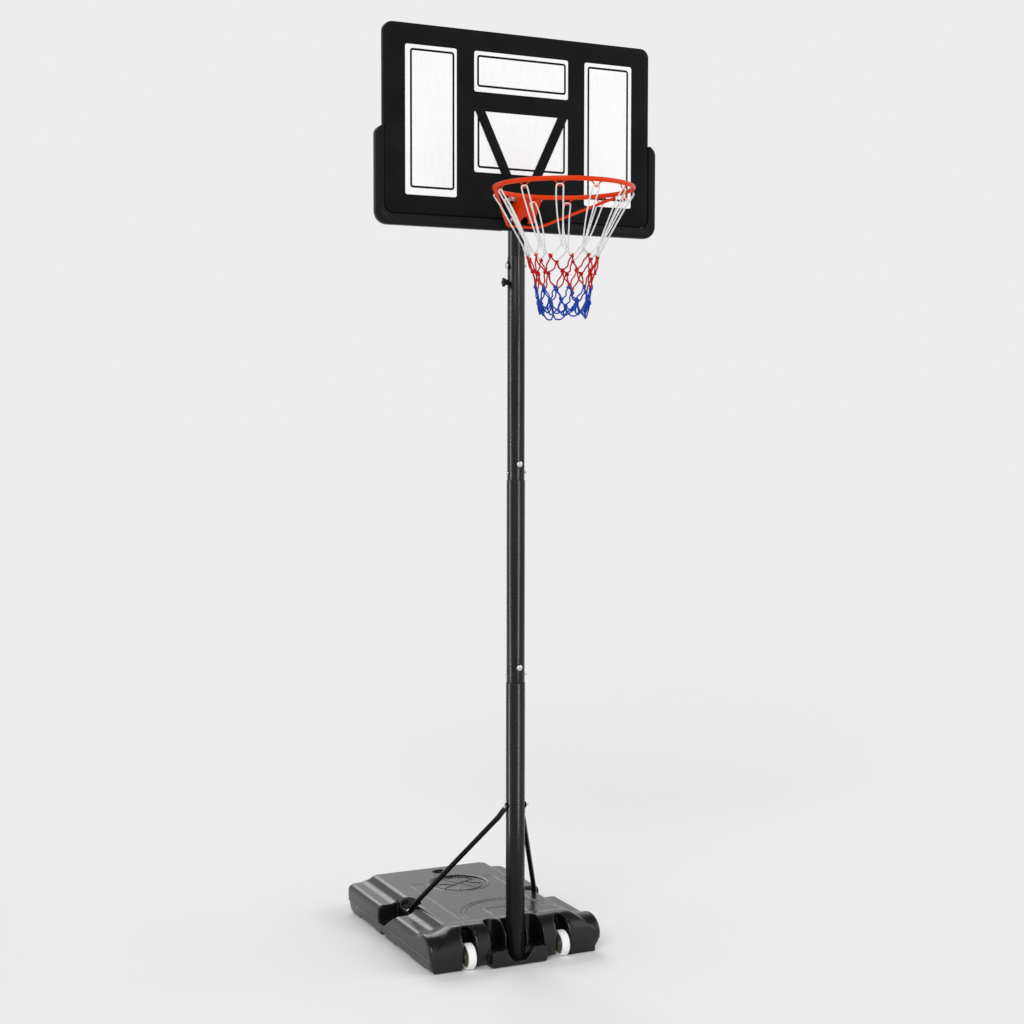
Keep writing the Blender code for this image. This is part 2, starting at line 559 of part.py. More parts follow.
skin_back = BOARD_FRONT_Y + BOARD_SKIN
board_frame = slab("board_frame", BOARD_HALF_WIDTH, BOARD_LOW_Z, BOARD_TOP_Z, 0.030,
                   [(BOARD_BACK_Y, 0.002), (BOARD_BACK_Y - 0.002, 0.0), (BOARD_FRONT_Y + 0.005, 0.0),
                    (BOARD_FRONT_Y, 0.022)], "board_plastic")
cut(board_frame, slab("board_hollow", BOARD_HALF_WIDTH - 0.006, BOARD_LOW_Z + 0.006, BOARD_TOP_Z - 0.006, 0.024,
                      [(0.020, 0.0), (skin_back, 0.0)]))
for side, sign in (("left", -1.0), ("right", 1.0)):
    xs = sorted((sign * 0.083, sign * 0.089))
    join(board_frame, box("upright_rib_" + side, (xs[0], skin_back - 0.002, BOARD_LOW_Z + 0.003),
                          (xs[1], BOARD_BACK_Y - 0.004, BOARD_TOP_Z - 0.003)))
    for number, rib_z in enumerate((2.838, 3.125)):
        xs = sorted((sign * 0.086, sign * (BOARD_HALF_WIDTH - 0.003)))
        join(board_frame, box("cross_rib_%s_%d" % (side, number), (xs[0], skin_back - 0.002, rib_z - 0.003),
                              (xs[1], BOARD_BACK_Y - 0.006, rib_z + 0.003)))

windows = [("window_left", (-SIDE_WINDOW[1], -SIDE_WINDOW[0]) + SIDE_WINDOW[2:]), ("window_right", SIDE_WINDOW),
           ("window_top", TOP_WINDOW), ("window_centre", CENTRE_WINDOW)]
for name, (x_low, x_high, z_low, z_high) in windows:
    pocket = rounded_outline(x_low - TOUCH_GAP, x_high + TOUCH_GAP, z_low - TOUCH_GAP, z_high + TOUCH_GAP, 0.0083)
    floor_y = BOARD_FRONT_Y + WINDOW_THICKNESS + 0.0003
    cut(board_frame, prism(name + "_pocket", pocket, "Y", BOARD_FRONT_Y - 0.01, floor_y))
    prism(name, rounded_outline(x_low, x_high, z_low, z_high, 0.008), "Y", BOARD_FRONT_Y,
          BOARD_FRONT_Y + WINDOW_THICKNESS, "window_white")

# two slanting bars of the board's own moulding that cross in front of the lower middle window
for side, sign in (("left", -1.0), ("right", 1.0)):
    bar = [(sign * 0.151, 3.104), (sign * 0.181, 3.104), (sign * 0.071, 2.872), (sign * 0.041, 2.872)]
    join(board_frame, prism("target_bar_" + side, bar, "Y", BOARD_FRONT_Y - 0.0022, BOARD_FRONT_Y - 0.0003))
    for number, (z_low, z_high, x_low, x_high) in enumerate(
            ((3.0965, 3.104, 0.151, 0.180), (2.872, 2.8785, 0.042, 0.071))):
        xs = sorted((sign * x_low, sign * x_high))
        join(board_frame, box("bar_root_%s_%d" % (side, number), (xs[0], BOARD_FRONT_Y - 0.0018, z_low + 0.0004),
                              (xs[1], BOARD_FRONT_Y + 0.004, z_high - 0.0004)))

NOTCH_HALF = 0.072
cut(board_frame, box("board_pole_notch", (-NOTCH_HALF, skin_back, 2.60), (NOTCH_HALF, 0.05, 2.735)))

# edge guard round the lower half of the board
guard = slab("board_edge_guard", GUARD_HALF_WIDTH, GUARD_LOW_Z, GUARD_TOP_Z + 0.1, 0.034,
             [(BOARD_BACK_Y - 0.001, 0.003), (BOARD_BACK_Y - 0.004, 0.0), (BOARD_FRONT_Y + 0.003, 0.0),
              (BOARD_FRONT_Y, 0.003)], "black_plastic")
inner_half = BOARD_HALF_WIDTH + TOUCH_GAP
cut(guard, slab("guard_inside", inner_half, BOARD_LOW_Z - TOUCH_GAP, BOARD_TOP_Z, 0.030, [(0.05, 0.0), (-0.1, 0.0)]))
cut(guard, box("guard_top_cut", (-0.7, -0.1, GUARD_TOP_Z), (0.7, 0.1, 3.6)))
cut(guard, box("guard_pole_notch", (-NOTCH_HALF, skin_back, 2.60), (NOTCH_HALF, 0.05, 2.735)))


def strap(name, z_low, z_high, flange_half):
    """A bent steel strap: two flanges against the board and a loop round the inner tube."""
    front = skin_back + TOUCH_GAP
    loop_inner = INNER_POLE_RADIUS + TOUCH_GAP
    loop_outer = loop_inner + 0.003
    outline = [(-flange_half, front), (-loop_inner, front)]
    for k in range(13):
        angle = math.pi - math.pi * k / 12.0
        outline.append((loop_inner * math.cos(angle), loop_inner * math.sin(angle)))
    outline += [(loop_inner, front), (flange_half, front), (flange_half, front + 0.003), (loop_outer, front + 0.003)]
    for k in range(13):
        angle = math.pi * k / 12.0
        outline.append((loop_outer * math.cos(angle), loop_outer * math.sin(angle)))
    outline += [(-loop_outer, front + 0.003), (-flange_half, front + 0.003)]
    return prism(name, outline, "Z", z_low, z_high, "black_steel")


bracket_upper = strap("board_bracket_upper", 3.106, 3.150, 0.074)
bracket_lower = strap("board_bracket_lower", 2.704, 2.808, 0.070)
screw_seat = skin_back + TOUCH_GAP + 0.003 + TOUCH_GAP
for side, sign in (("left", -1.0), ("right", 1.0)):
    place = (sign * 0.056, screw_seat, 3.128)
    turned("board_screw_" + side, [(0.0, -0.0105), (0.0025, -0.0085), (0.0025, 0.0), (0.0060, 0.0), (0.0060, 0.0015),
                                   (0.0035, 0.0035), (0.0, 0.0038)], place, "Y", 16, "zinc_steel")
    drill(bracket_upper, "strap_screw_hole_" + side, 0.0029, -0.02, 0.02, place, "Y")
    drill(board_frame, "board_screw_hole_" + side, 0.0028, -0.0110, 0.02, place, "Y")

# ---- rim ------------------------------------------------------------------------------------
ring_radius = RIM_INNER_RADIUS + RIM_TUBE_RADIUS
ring_profile = []
for k in range(10):
    angle = 2.0 * math.pi * k / 10
    ring_profile.append((ring_radius + RIM_TUBE_RADIUS * math.cos(angle), RIM_TUBE_RADIUS * math.sin(angle)))
rim_ring = turned("rim_ring", ring_profile, (0.0, RIM_Y, RIM_Z), "Z", 64, "rim_orange", ring=True)
for number in range(HOOK_COUNT):
    heading = 2.0 * math.pi * number / HOOK_COUNT
    spoke = Vector((math.cos(heading), math.sin(heading), 0.0))
    tangent = Vector((-math.sin(heading), math.cos(heading), 0.0))
    seat = Vector((0.0, RIM_Y, RIM_Z)) + spoke * ring_radius
    wire = []
    for offset, drop in ((-0.0150, 0.0040), (-0.0040, 0.0235), (0.0, 0.0255), (0.0040, 0.0235), (0.0150, 0.0040)):
        wire.append(seat + tangent * offset - Vector((0.0, 0.0, drop)))
    join(rim_ring, rod("net_hook_%02d" % number, wire, 0.0022, 6))

plate_back = BOARD_FRONT_Y - TOUCH_GAP
plate_front = plate_back - 0.004
PLATE_LOW_Z = 2.700
rim_bracket = prism("rim_bracket", rounded_outline(-0.062, 0.062, PLATE_LOW_Z, 2.812, 0.006, 2), "Y",
                    plate_front, plate_back, "rim_orange")
ring_back = RIM_Y + ring_radius + RIM_TUBE_RADIUS + TOUCH_GAP
channel = [(plate_front + 0.002, 2.800), (ring_back, 2.800), (ring_back, 2.7835), (-0.0660, 2.7060),
           (plate_front + 0.002, 2.7060)]
join(rim_bracket, prism("bracket_channel", channel, "X", -0.0375, 0.0375))
hollow = [(plate_front - 0.0001, 2.7960), (ring_back + 0.004, 2.7960), (ring_back + 0.004, 2.7855), (-0.0610, 2.7040),
          (-0.0610, 2.6500), (plate_front - 0.0001, 2.6500)]
cut(rim_bracket, prism("bracket_hollow", hollow, "X", -0.0335, 0.0335))

brace_angle = math.radians(15.0)
brace_end = Vector((ring_radius * math.cos(brace_angle), RIM_Y + ring_radius * math.sin(brace_angle), RIM_Z - 0.0145))
bend = Vector((0.0600, -0.0570, 2.6940))
middle_low = Vector((0.0, -0.0570, 2.6940))
half_path = [brace_end]
toward = (brace_end - bend).normalized()
for share in (1.0, 0.55, 0.25, 0.0):
    half_path.append(bend + toward * 0.016 * share - Vector((0.016, 0.0, 0.0)) * (1.0 - share))
right_path = [Vector(p) for p in half_path]
left_path = [Vector((-p.x, p.y, p.z)) for p in half_path]
rod("rim_brace", left_path + right_path[::-1], 0.005, 10, "rim_orange")

spring_front = plate_front - TOUCH_GAP - SPRING_LENGTH
bolt_reach = screw_seat - spring_front
for side, sign in (("left", -1.0), ("right", 1.0)):
    x = sign * SPRING_X
    drill(rim_bracket, "spring_slot_" + side, 0.0068, -0.03, 0.03, (x, plate_front, SPRING_Z), "Y")
    for number, body in enumerate((board_frame, bracket_lower)):
        drill(body, "spring_hole_%s_%d" % (side, number), BOLT_RADIUS + TOUCH_GAP, -0.08, 0.08,
              (x, BOARD_FRONT_Y, SPRING_Z), "Y")
    head = [(0.0, -0.0085), (0.0040, -0.0078), (0.0066, -0.0052), (0.0066, -0.0020), (0.0105, -0.0020),
            (0.0105, 0.0), (BOLT_RADIUS, 0.0), (BOLT_RADIUS, bolt_reach + 0.0105), (0.0, bolt_reach + 0.0105)]
    turned("spring_bolt_" + side, head, (x, spring_front, SPRING_Z), "Y", 20, "zinc_steel")
    nut("spring_nut_" + side, (x, screw_seat, SPRING_Z), "Y", across=0.0068)
    coil = []
    coils = 6
    wire_radius = 0.0013
    lead = SPRING_LENGTH - 2.0 * wire_radius - 2.0 * TOUCH_GAP
    for k in range(coils * 12 + 1):
        angle = 2.0 * math.pi * k / 12
        y = spring_front + wire_radius + TOUCH_GAP + lead * k / (coils * 12)
        coil.append((x + 0.0078 * math.cos(angle), y, SPRING_Z + 0.0078 * math.sin(angle)))
    rod("rim_spring_" + side, coil, wire_radius, 6, "zinc_steel")
    x = sign * LOWER_BOLT_X
    drill(rim_bracket, "lower_bolt_slot_" + side, 0.0055, -0.03, 0.03, (x, plate_front, LOWER_BOLT_Z), "Y")
    for number, body in enumerate((board_frame, bracket_lower, guard)):
        drill(body, "lower_bolt_hole_%s_%d" % (side, number), BOLT_RADIUS + TOUCH_GAP, -0.08, 0.08,
              (x, BOARD_FRONT_Y, LOWER_BOLT_Z), "Y")
    lower_seat = plate_front - 0.0046
    hex_bolt("rim_bolt_" + side, (x, lower_seat, LOWER_BOLT_Z), "Y", screw_seat - lower_seat + 0.0100)
    nut("rim_nut_" + side, (x, screw_seat, LOWER_BOLT_Z), "Y", across=0.0068)


# ---- net ------------------------------------------------------------------------------------
def net_band(name, stations, slot):
    """A thin closed funnel through (radius, z) stations, standing in for one colour of cord."""
    outer = [(radius, z) for radius, z in stations]
    inner = [(radius - 0.003, z) for radius, z in reversed(stations)]
    turned(name, outer + inner, (0.0, RIM_Y, 0.0), "Z", 36, slot, ring=True)


net_band("net_white", [(0.2140, 2.7480), (0.1930, 2.705), (0.1570, 2.640), (0.1300, 2.577)], "cord_white")
net_band("net_red", [(0.1290, 2.5765), (0.1160, 2.530), (0.1100, 2.482)], "cord_red")
net_band("net_blue", [(0.1095, 2.4815), (0.1040, 2.430), (0.1000, 2.372)], "cord_blue")
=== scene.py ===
"""Looks for the portable basketball hoop: moulded tank, pole, board, rim and knotted net.

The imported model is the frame. Each piece below rides on one of its bodies and stands for
one or more of its nodes. Metres, +Z up, the rim points toward -Y.
"""

import json
import math
import random

import bmesh
import bpy
import numpy as np
from mathutils import Matrix, Vector


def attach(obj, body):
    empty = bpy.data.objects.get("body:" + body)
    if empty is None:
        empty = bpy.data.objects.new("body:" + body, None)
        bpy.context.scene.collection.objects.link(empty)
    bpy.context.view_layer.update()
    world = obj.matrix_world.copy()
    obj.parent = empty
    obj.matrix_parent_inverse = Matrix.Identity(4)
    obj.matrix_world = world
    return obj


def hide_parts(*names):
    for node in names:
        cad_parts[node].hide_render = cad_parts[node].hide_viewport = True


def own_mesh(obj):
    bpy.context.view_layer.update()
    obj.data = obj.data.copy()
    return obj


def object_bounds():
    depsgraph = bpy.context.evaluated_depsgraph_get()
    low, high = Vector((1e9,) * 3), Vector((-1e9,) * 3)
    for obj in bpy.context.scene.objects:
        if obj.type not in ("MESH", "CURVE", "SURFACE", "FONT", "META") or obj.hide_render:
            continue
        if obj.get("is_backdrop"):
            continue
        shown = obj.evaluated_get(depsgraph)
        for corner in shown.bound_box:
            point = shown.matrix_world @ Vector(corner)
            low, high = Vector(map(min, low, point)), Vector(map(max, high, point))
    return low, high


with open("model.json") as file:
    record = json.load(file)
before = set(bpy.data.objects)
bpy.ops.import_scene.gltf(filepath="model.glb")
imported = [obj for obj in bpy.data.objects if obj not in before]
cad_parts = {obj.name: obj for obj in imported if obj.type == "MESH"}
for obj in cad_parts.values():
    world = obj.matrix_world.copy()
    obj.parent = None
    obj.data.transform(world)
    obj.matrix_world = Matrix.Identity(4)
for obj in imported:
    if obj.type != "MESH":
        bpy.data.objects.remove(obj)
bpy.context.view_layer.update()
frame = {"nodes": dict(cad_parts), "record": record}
body_of = {}
for body_name, members in frame["record"]["behaviour"]["bodies"].items():
    for member in members:
        body_of[member] = body_name

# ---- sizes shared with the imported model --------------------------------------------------
GAP = 0.0003
TANK_HALF = 0.349
TANK_BACK = 0.872
SHOULDER_Z = 0.118
DECK_Z = 0.150
ROLL_Y = 0.055
ROLL_Z = 0.068
ROLL_RADIUS = 0.080
PARTING_Z = 0.066
POCKET_FLOOR_Z = 0.056
NOTCH_FRONT_Y = 0.352
NOTCH_BACK_Y = 0.510
SHELF_Z = 0.112
BRACE_FOOT = Vector((0.262, 0.404, SHELF_Z))
FILLER = Vector((0.015, 0.770, DECK_Z))
MEDALLION = Vector((0.022, 0.579, DECK_Z))
MEDALLION_RADIUS = 0.118

WHEEL_X = 0.190
WHEEL_RADIUS = 0.0475
WHEEL_WIDTH = 0.031

POLE_FOOT_Z = 0.0193
LOWER_JOINT_Z = 1.043
UPPER_JOINT_Z = 1.786
SLEEVE_TOP_Z = 2.594
BOTTOM_RADIUS = 0.0350
MIDDLE_RADIUS = 0.0335
SLEEVE_RADIUS = 0.03175
INNER_RADIUS = 0.0300
TUBE_WALL = 0.0018
HEIGHT_BOLT_Z = 2.560
CLAMP_Z = 2.500
BRACE_TOP_Z = 0.585
BOLT_RADIUS = 0.004
THREAD_LENGTH = 0.014

BOARD_FRONT_Y = -0.045
BOARD_BACK_Y = -0.012
BOARD_HALF = 0.525
BOARD_TOP_Z = 3.378
BOARD_LOW_Z = 2.720
SKIN_BACK_Y = -0.035
GUARD_HALF = 0.556
GUARD_LOW_Z = 2.680
GUARD_TOP_Z = 3.020
WINDOWS = {
    "window_left": (-0.448, -0.253, 2.786, 3.304),
    "window_right": (0.253, 0.448, 2.786, 3.304),
    "window_top": (-0.186, 0.186, 3.162, 3.304),
    "window_centre": (-0.186, 0.186, 2.880, 3.095),
}

RIM_Y = -0.378
RIM_Z = 2.791
RING_RADIUS = 0.2365
RING_TUBE = 0.008
HOOK_COUNT = 12
SPRING_X = 0.050
SPRING_Z = 2.792
SPRING_LENGTH = 0.036
PLATE_BACK_Y = -0.0453
PLATE_FRONT_Y = -0.0493
LOWER_BOLT = Vector((0.045, 0.0, 2.718))


# ---- finishes ------------------------------------------------------------------------------
class Finish:
    """A node material that is built up step by step round one Principled shader."""

    def __init__(self, name, roughness=None, metallic=0.0, specular=0.5, coat=0.0, coat_roughness=0.1):
        self.material = bpy.data.materials.new(name)
        self.material.use_nodes = True
        self.tree = self.material.node_tree
        self.shader = self.tree.nodes["Principled BSDF"]
        self.shader.inputs["Metallic"].default_value = metallic
        self.shader.inputs["Specular IOR Level"].default_value = specular
        self.shader.inputs["Coat Weight"].default_value = coat
        self.shader.inputs["Coat Roughness"].default_value = coat_roughness
        if roughness is not None:
            self.shader.inputs["Roughness"].default_value = roughness
        self.place = self.tree.nodes.new("ShaderNodeTexCoord")
        self.height = None

    def link(self, source, target):
        self.tree.links.new(source, target)

    def coordinates(self, stretch=(1.0, 1.0, 1.0), kind="Object"):
        mapping = self.tree.nodes.new("ShaderNodeMapping")
        mapping.inputs["Scale"].default_value = stretch
        self.link(self.place.outputs[kind], mapping.inputs["Vector"])
        return mapping.outputs["Vector"]

    def noise(self, scale, detail=4.0, rough=0.55, stretch=(1.0, 1.0, 1.0), kind="Object"):
        node = self.tree.nodes.new("ShaderNodeTexNoise")
        node.inputs["Scale"].default_value = scale
        node.inputs["Detail"].default_value = detail
        node.inputs["Roughness"].default_value = rough
        self.link(self.coordinates(stretch, kind), node.inputs["Vector"])
        return node.outputs["Fac"]

    def wave(self, scale, distortion, direction, kind="Object", stretch=(1.0, 1.0, 1.0)):
        node = self.tree.nodes.new("ShaderNodeTexWave")
        node.bands_direction = direction
        node.inputs["Scale"].default_value = scale
        node.inputs["Distortion"].default_value = distortion
        self.link(self.coordinates(stretch, kind), node.inputs["Vector"])
        return node.outputs["Fac"]

    def ramp(self, factor, stops):
        node = self.tree.nodes.new("ShaderNodeValToRGB")
        while len(node.color_ramp.elements) < len(stops):
            node.color_ramp.elements.new(0.5)
        for element, (position, colour) in zip(node.color_ramp.elements, stops):
            element.position = position
            element.color = (*colour, 1.0)
        self.link(factor, node.inputs["Fac"])
        return node.outputs["Color"]

    def span(self, factor, low, high, from_low=0.0, from_high=1.0):
        node = self.tree.nodes.new("ShaderNodeMapRange")
        node.inputs["From Min"].default_value = from_low
        node.inputs["From Max"].default_value = from_high
        node.inputs["To Min"].default_value = low
        node.inputs["To Max"].default_value = high
        self.link(factor, node.inputs["Value"])
        return node.outputs["Result"]

    def blend(self, factor, first, second, mode="MIX"):
        node = self.tree.nodes.new("ShaderNodeMix")
        node.data_type = "RGBA"
        node.blend_type = mode
        self.link(factor, node.inputs["Factor"])
        self.link(first, node.inputs["A"])
        self.link(second, node.inputs["B"])
        return node.outputs["Result"]

    def colour(self, output):
        self.link(output, self.shader.inputs["Base Color"])

    def roughness(self, output):
        self.link(output, self.shader.inputs["Roughness"])

    def bump(self, output, strength, depth):
        node = self.tree.nodes.new("ShaderNodeBump")
        node.inputs["Strength"].default_value = strength
        node.inputs["Distance"].default_value = depth
        self.link(output, node.inputs["Height"])
        if self.height is not None:
            self.link(self.height, node.inputs["Normal"])
        self.height = node.outputs["Normal"]
        self.link(self.height, self.shader.inputs["Normal"])


def moulded_plastic(name, dark, light, rough_low, rough_high, specular, grain, grain_depth):
    """Blow-moulded or injected plastic: cloudy tone, uneven gloss, fine grain and light scuffs."""
    finish = Finish(name, specular=specular)
    cloud = finish.noise(9.0, 5.0, 0.6)
    scuff = finish.noise(60.0, 6.0, 0.7, (1.0, 0.12, 1.0))
    base = finish.ramp(cloud, [(0.30, dark), (0.75, light)])
    worn = finish.ramp(scuff, [(0.60, (0.0, 0.0, 0.0)), (0.78, (0.012, 0.012, 0.012))])
    add = finish.tree.nodes.new("ShaderNodeMix")
    add.data_type = "RGBA"
    add.blend_type = "ADD"
    add.inputs["Factor"].default_value = 1.0
    finish.link(base, add.inputs["A"])
    finish.link(worn, add.inputs["B"])
    finish.colour(add.outputs["Result"])
    finish.roughness(finish.span(finish.noise(26.0, 6.0, 0.65), rough_low, rough_high, 0.3, 0.7))
    finish.bump(finish.noise(14.0, 2.0, 0.4), 0.10, 0.002)
    finish.bump(finish.noise(grain, 2.0, 0.5), 0.03, grain_depth)
    return finish.material


def painted_steel(name, dark, light, rough_low, rough_high, specular, coat=0.0):
    """Powder coat: fine orange peel, small specks and a slow change of gloss along the part."""
    finish = Finish(name, specular=specular, coat=coat, coat_roughness=0.16)
    tone = finish.noise(5.0, 4.0, 0.6)
    finish.colour(finish.ramp(tone, [(0.30, dark), (0.72, light)]))
    finish.roughness(finish.span(finish.noise(45.0, 5.0, 0.7), rough_low, rough_high, 0.3, 0.7))
    finish.bump(finish.noise(420.0, 3.0, 0.5), 0.06, 0.0004)
    finish.bump(finish.noise(1500.0, 2.0, 0.5), 0.06, 0.0002)
    return finish.material


def plated_steel(name, dark, light, rough_low, rough_high):
    """Zinc plate: cloudy passivation, faint turning marks and small dull spots."""
    finish = Finish(name, metallic=1.0)
    cloud = finish.noise(160.0, 5.0, 0.65)
    finish.colour(finish.ramp(cloud, [(0.25, dark), (0.60, light)]))
    finish.roughness(finish.span(finish.noise(330.0, 6.0, 0.7), rough_low, rough_high, 0.3, 0.7))
    finish.bump(finish.noise(700.0, 3.0, 0.6, (1.0, 4.0, 1.0)), 0.12, 0.0003)
    return finish.material


def twisted_cord(name, shade, tone, pale):
    """Polyester cord: strands at a slant with painted shade in the grooves between them and a paler painted
    highlight on their crests, fuzz between them and uneven dye.
    """
    finish = Finish(name, roughness=0.70, specular=0.16)
    finish.shader.inputs["Sheen Weight"].default_value = 0.04
    strands = finish.wave(1.0, 0.6, "DIAGONAL", "UV", (2.0, 2.0, 2.0))
    fibre = finish.noise(900.0, 4.0, 0.7)
    dye = finish.noise(38.0, 4.0, 0.6)
    # The strand bands paint shade into the grooves and a paler highlight onto the crests.
    groove_shade_bands = finish.ramp(strands, [(0.0, shade), (0.45, tone), (1.0, pale)])
    dyed = finish.ramp(dye, [(0.25, shade), (0.60, tone), (0.85, pale)])
    mix = finish.span(fibre, 0.25, 0.75)
    finish.colour(finish.blend(mix, groove_shade_bands, dyed))
    finish.roughness(finish.span(fibre, 0.70, 0.92))
    finish.bump(strands, 0.55, 0.0009)
    finish.bump(fibre, 0.35, 0.0004)
    return finish.material


def glazed_panel(name):
    """Glossy white sheet with faint mottling and a few hairline wipe marks."""
    finish = Finish(name, specular=0.45, coat=0.25, coat_roughness=0.08)
    mottle = finish.noise(7.0, 5.0, 0.6)
    finish.colour(finish.ramp(mottle, [(0.25, (0.90, 0.905, 0.91)), (0.70, (0.96, 0.96, 0.96))]))
    finish.roughness(finish.span(finish.noise(90.0, 6.0, 0.7, (1.0, 1.0, 0.1)), 0.22, 0.36, 0.3, 0.7))
    finish.bump(finish.noise(260.0, 2.0, 0.5), 0.05, 0.0004)
    return finish.material


def printed_line(name):
    finish = Finish(name, specular=0.08)
    finish.colour(finish.ramp(finish.noise(300.0, 4.0, 0.6),
                              [(0.3, (0.004, 0.004, 0.004)), (0.7, (0.008, 0.008, 0.008))]))
    finish.roughness(finish.span(finish.noise(120.0), 0.32, 0.48))
    finish.bump(finish.noise(900.0), 0.1, 0.0002)
    return finish.material


def rubber(name):
    finish = Finish(name, specular=0.3)
    finish.colour(finish.ramp(finish.noise(200.0),
                              [(0.3, (0.016, 0.016, 0.016)), (0.7, (0.034, 0.034, 0.033))]))
    finish.roughness(finish.span(finish.noise(400.0), 0.70, 0.88))
    finish.bump(finish.noise(1200.0), 0.3, 0.0003)
    return finish.material


def still_water(name):
    finish = Finish(name, specular=0.5)
    finish.shader.inputs["Transmission Weight"].default_value = 0.6
    finish.shader.inputs["IOR"].default_value = 1.33
    finish.colour(finish.ramp(finish.noise(4.0), [(0.3, (0.42, 0.58, 0.64)), (0.7, (0.50, 0.66, 0.72))]))
    finish.roughness(finish.span(finish.noise(6.0), 0.05, 0.14))
    finish.bump(finish.noise(20.0), 0.15, 0.002)
    return finish.material


def hub_painted_shade(name):
    """Brown-grey hub face: painted shade standing in for the shadow on the white wheel's side, mottled at
    random, over a dull moulding.
    """
    finish = Finish(name, specular=0.35)
    shade_noise = finish.noise(70.0, 6.0, 0.7)
    stops = [(0.25, (0.060, 0.048, 0.034)), (0.55, (0.150, 0.125, 0.092)), (0.85, (0.235, 0.205, 0.165))]
    # These brown-grey stops are painted shade; the wheel's own plastic is white.
    finish.colour(finish.ramp(shade_noise, stops))
    finish.roughness(finish.span(shade_noise, 0.45, 0.75))
    finish.bump(finish.noise(500.0), 0.25, 0.0004)
    return finish.material


def wheel_plastic(name):
    finish = Finish(name, specular=0.4)
    finish.colour(finish.ramp(finish.noise(50.0, 6.0, 0.7),
                              [(0.20, (0.80, 0.80, 0.78)), (0.55, (0.93, 0.93, 0.92))]))
    finish.roughness(finish.span(finish.noise(200.0, 6.0), 0.34, 0.58))
    finish.bump(finish.noise(650.0), 0.15, 0.0004)
    return finish.material


finishes = {
    "tank_plastic": moulded_plastic("tank_plastic", (0.0040, 0.0040, 0.0043), (0.0085, 0.0085, 0.0088),
                                    0.20, 0.30, 0.42, 620.0, 0.0003),
    "black_plastic": moulded_plastic("black_plastic", (0.0045, 0.0045, 0.0048), (0.0090, 0.0090, 0.0093),
                                     0.34, 0.44, 0.14, 1100.0, 0.0002),
    "board_plastic": moulded_plastic("board_plastic", (0.0050, 0.0050, 0.0053), (0.0095, 0.0095, 0.0098),
                                     0.46, 0.56, 0.07, 900.0, 0.0002),
    "black_steel": painted_steel("black_steel", (0.0025, 0.0025, 0.0027), (0.0050, 0.0050, 0.0052),
                                 0.24, 0.30, 0.16),
    "rim_orange": painted_steel("rim_orange", (0.70, 0.034, 0.0008), (0.80, 0.050, 0.0015), 0.26, 0.36, 0.13),
    "zinc_steel": plated_steel("zinc_steel", (0.46, 0.455, 0.44), (0.78, 0.775, 0.76), 0.22, 0.40),
    "window_white": glazed_panel("window_white"),
    "seal_rubber": rubber("seal_rubber"),
    "water": still_water("water"),
    "wheel_plastic": wheel_plastic("wheel_plastic"),
    "cord_white": twisted_cord("cord_white", (0.62, 0.62, 0.63), (0.88, 0.88, 0.88), (0.96, 0.96, 0.95)),
    "cord_red": twisted_cord("cord_red", (0.30, 0.003, 0.003), (0.60, 0.008, 0.007), (0.74, 0.022, 0.018)),
    "cord_blue": twisted_cord("cord_blue", (0.004, 0.018, 0.200), (0.010, 0.065, 0.480),
                              (0.030, 0.150, 0.740)),
}
line_finish = printed_line("printed_line")
# The hub's brown-grey finish is painted shade, not a colour of the wheel.
hub_shade_finish = hub_painted_shade("hub_face")


# ---- mesh building ---------------------------------------------------------------------------
def mesh_piece(name, vertices, faces, slot, node=None, body=None, angle=35.0, uv=None, finish=None,
               smooth=True, fix_normals=True):
    """A mesh piece that rides on a body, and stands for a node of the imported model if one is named."""
    mesh = bpy.data.meshes.new(name)
    mesh.from_pydata([tuple(v) for v in vertices], [], faces)
    if uv is not None:
        layer = mesh.uv_layers.new(name="along")
        for loop in mesh.loops:
            layer.data[loop.index].uv = uv[loop.vertex_index]
    shape = bmesh.new()
    shape.from_mesh(mesh)
    if fix_normals:
        bmesh.ops.recalc_face_normals(shape, faces=shape.faces)
    limit = math.radians(angle)
    for edge in shape.edges:
        edge.smooth = smooth and (not edge.is_manifold or edge.calc_face_angle(0.0) < limit)
    for face in shape.faces:
        face.smooth = smooth
    shape.to_mesh(mesh)
    shape.free()
    piece = bpy.data.objects.new(name, mesh)
    bpy.context.scene.collection.objects.link(piece)
    mesh.materials.append(finish or finishes[slot])
    nodes = [node] if isinstance(node, str) else list(node or [])
    for one in nodes:
        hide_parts(one)
    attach(piece, body or body_of[nodes[0]])
    return piece


def axes_of(axis):
    """Two directions across an axis named like "X" or "-X", then the axis itself."""
    sign = -1.0 if axis.startswith("-") else 1.0
    along = Vector([sign if letter == axis[-1] else 0.0 for letter in "XYZ"])
    across = Vector((0.0, 1.0, 0.0)) if axis[-1] == "X" else Vector((1.0, 0.0, 0.0))
    return across, along.cross(across), along


def softened(profile, radius, steps=3):
    """A (radius, along) profile with each inner corner rounded off by up to the given radius."""
    out = [profile[0]]
    for before, corner, after in zip(profile, profile[1:], profile[2:]):
        b, c, a = Vector(before), Vector(corner), Vector(after)
        if (b - c).length < 1e-9 or (a - c).length < 1e-9:
            out.append(corner)
            continue
        reach = min(radius, (b - c).length * 0.45, (a - c).length * 0.45)
        start = c + (b - c).normalized() * reach
        end = c + (a - c).normalized() * reach
        for k in range(steps + 1):
            t = k / steps
            point = start * (1 - t) ** 2 + c * 2 * t * (1 - t) + end * t ** 2
            out.append((point.x, point.y))
    out.append(profile[-1])
    return out


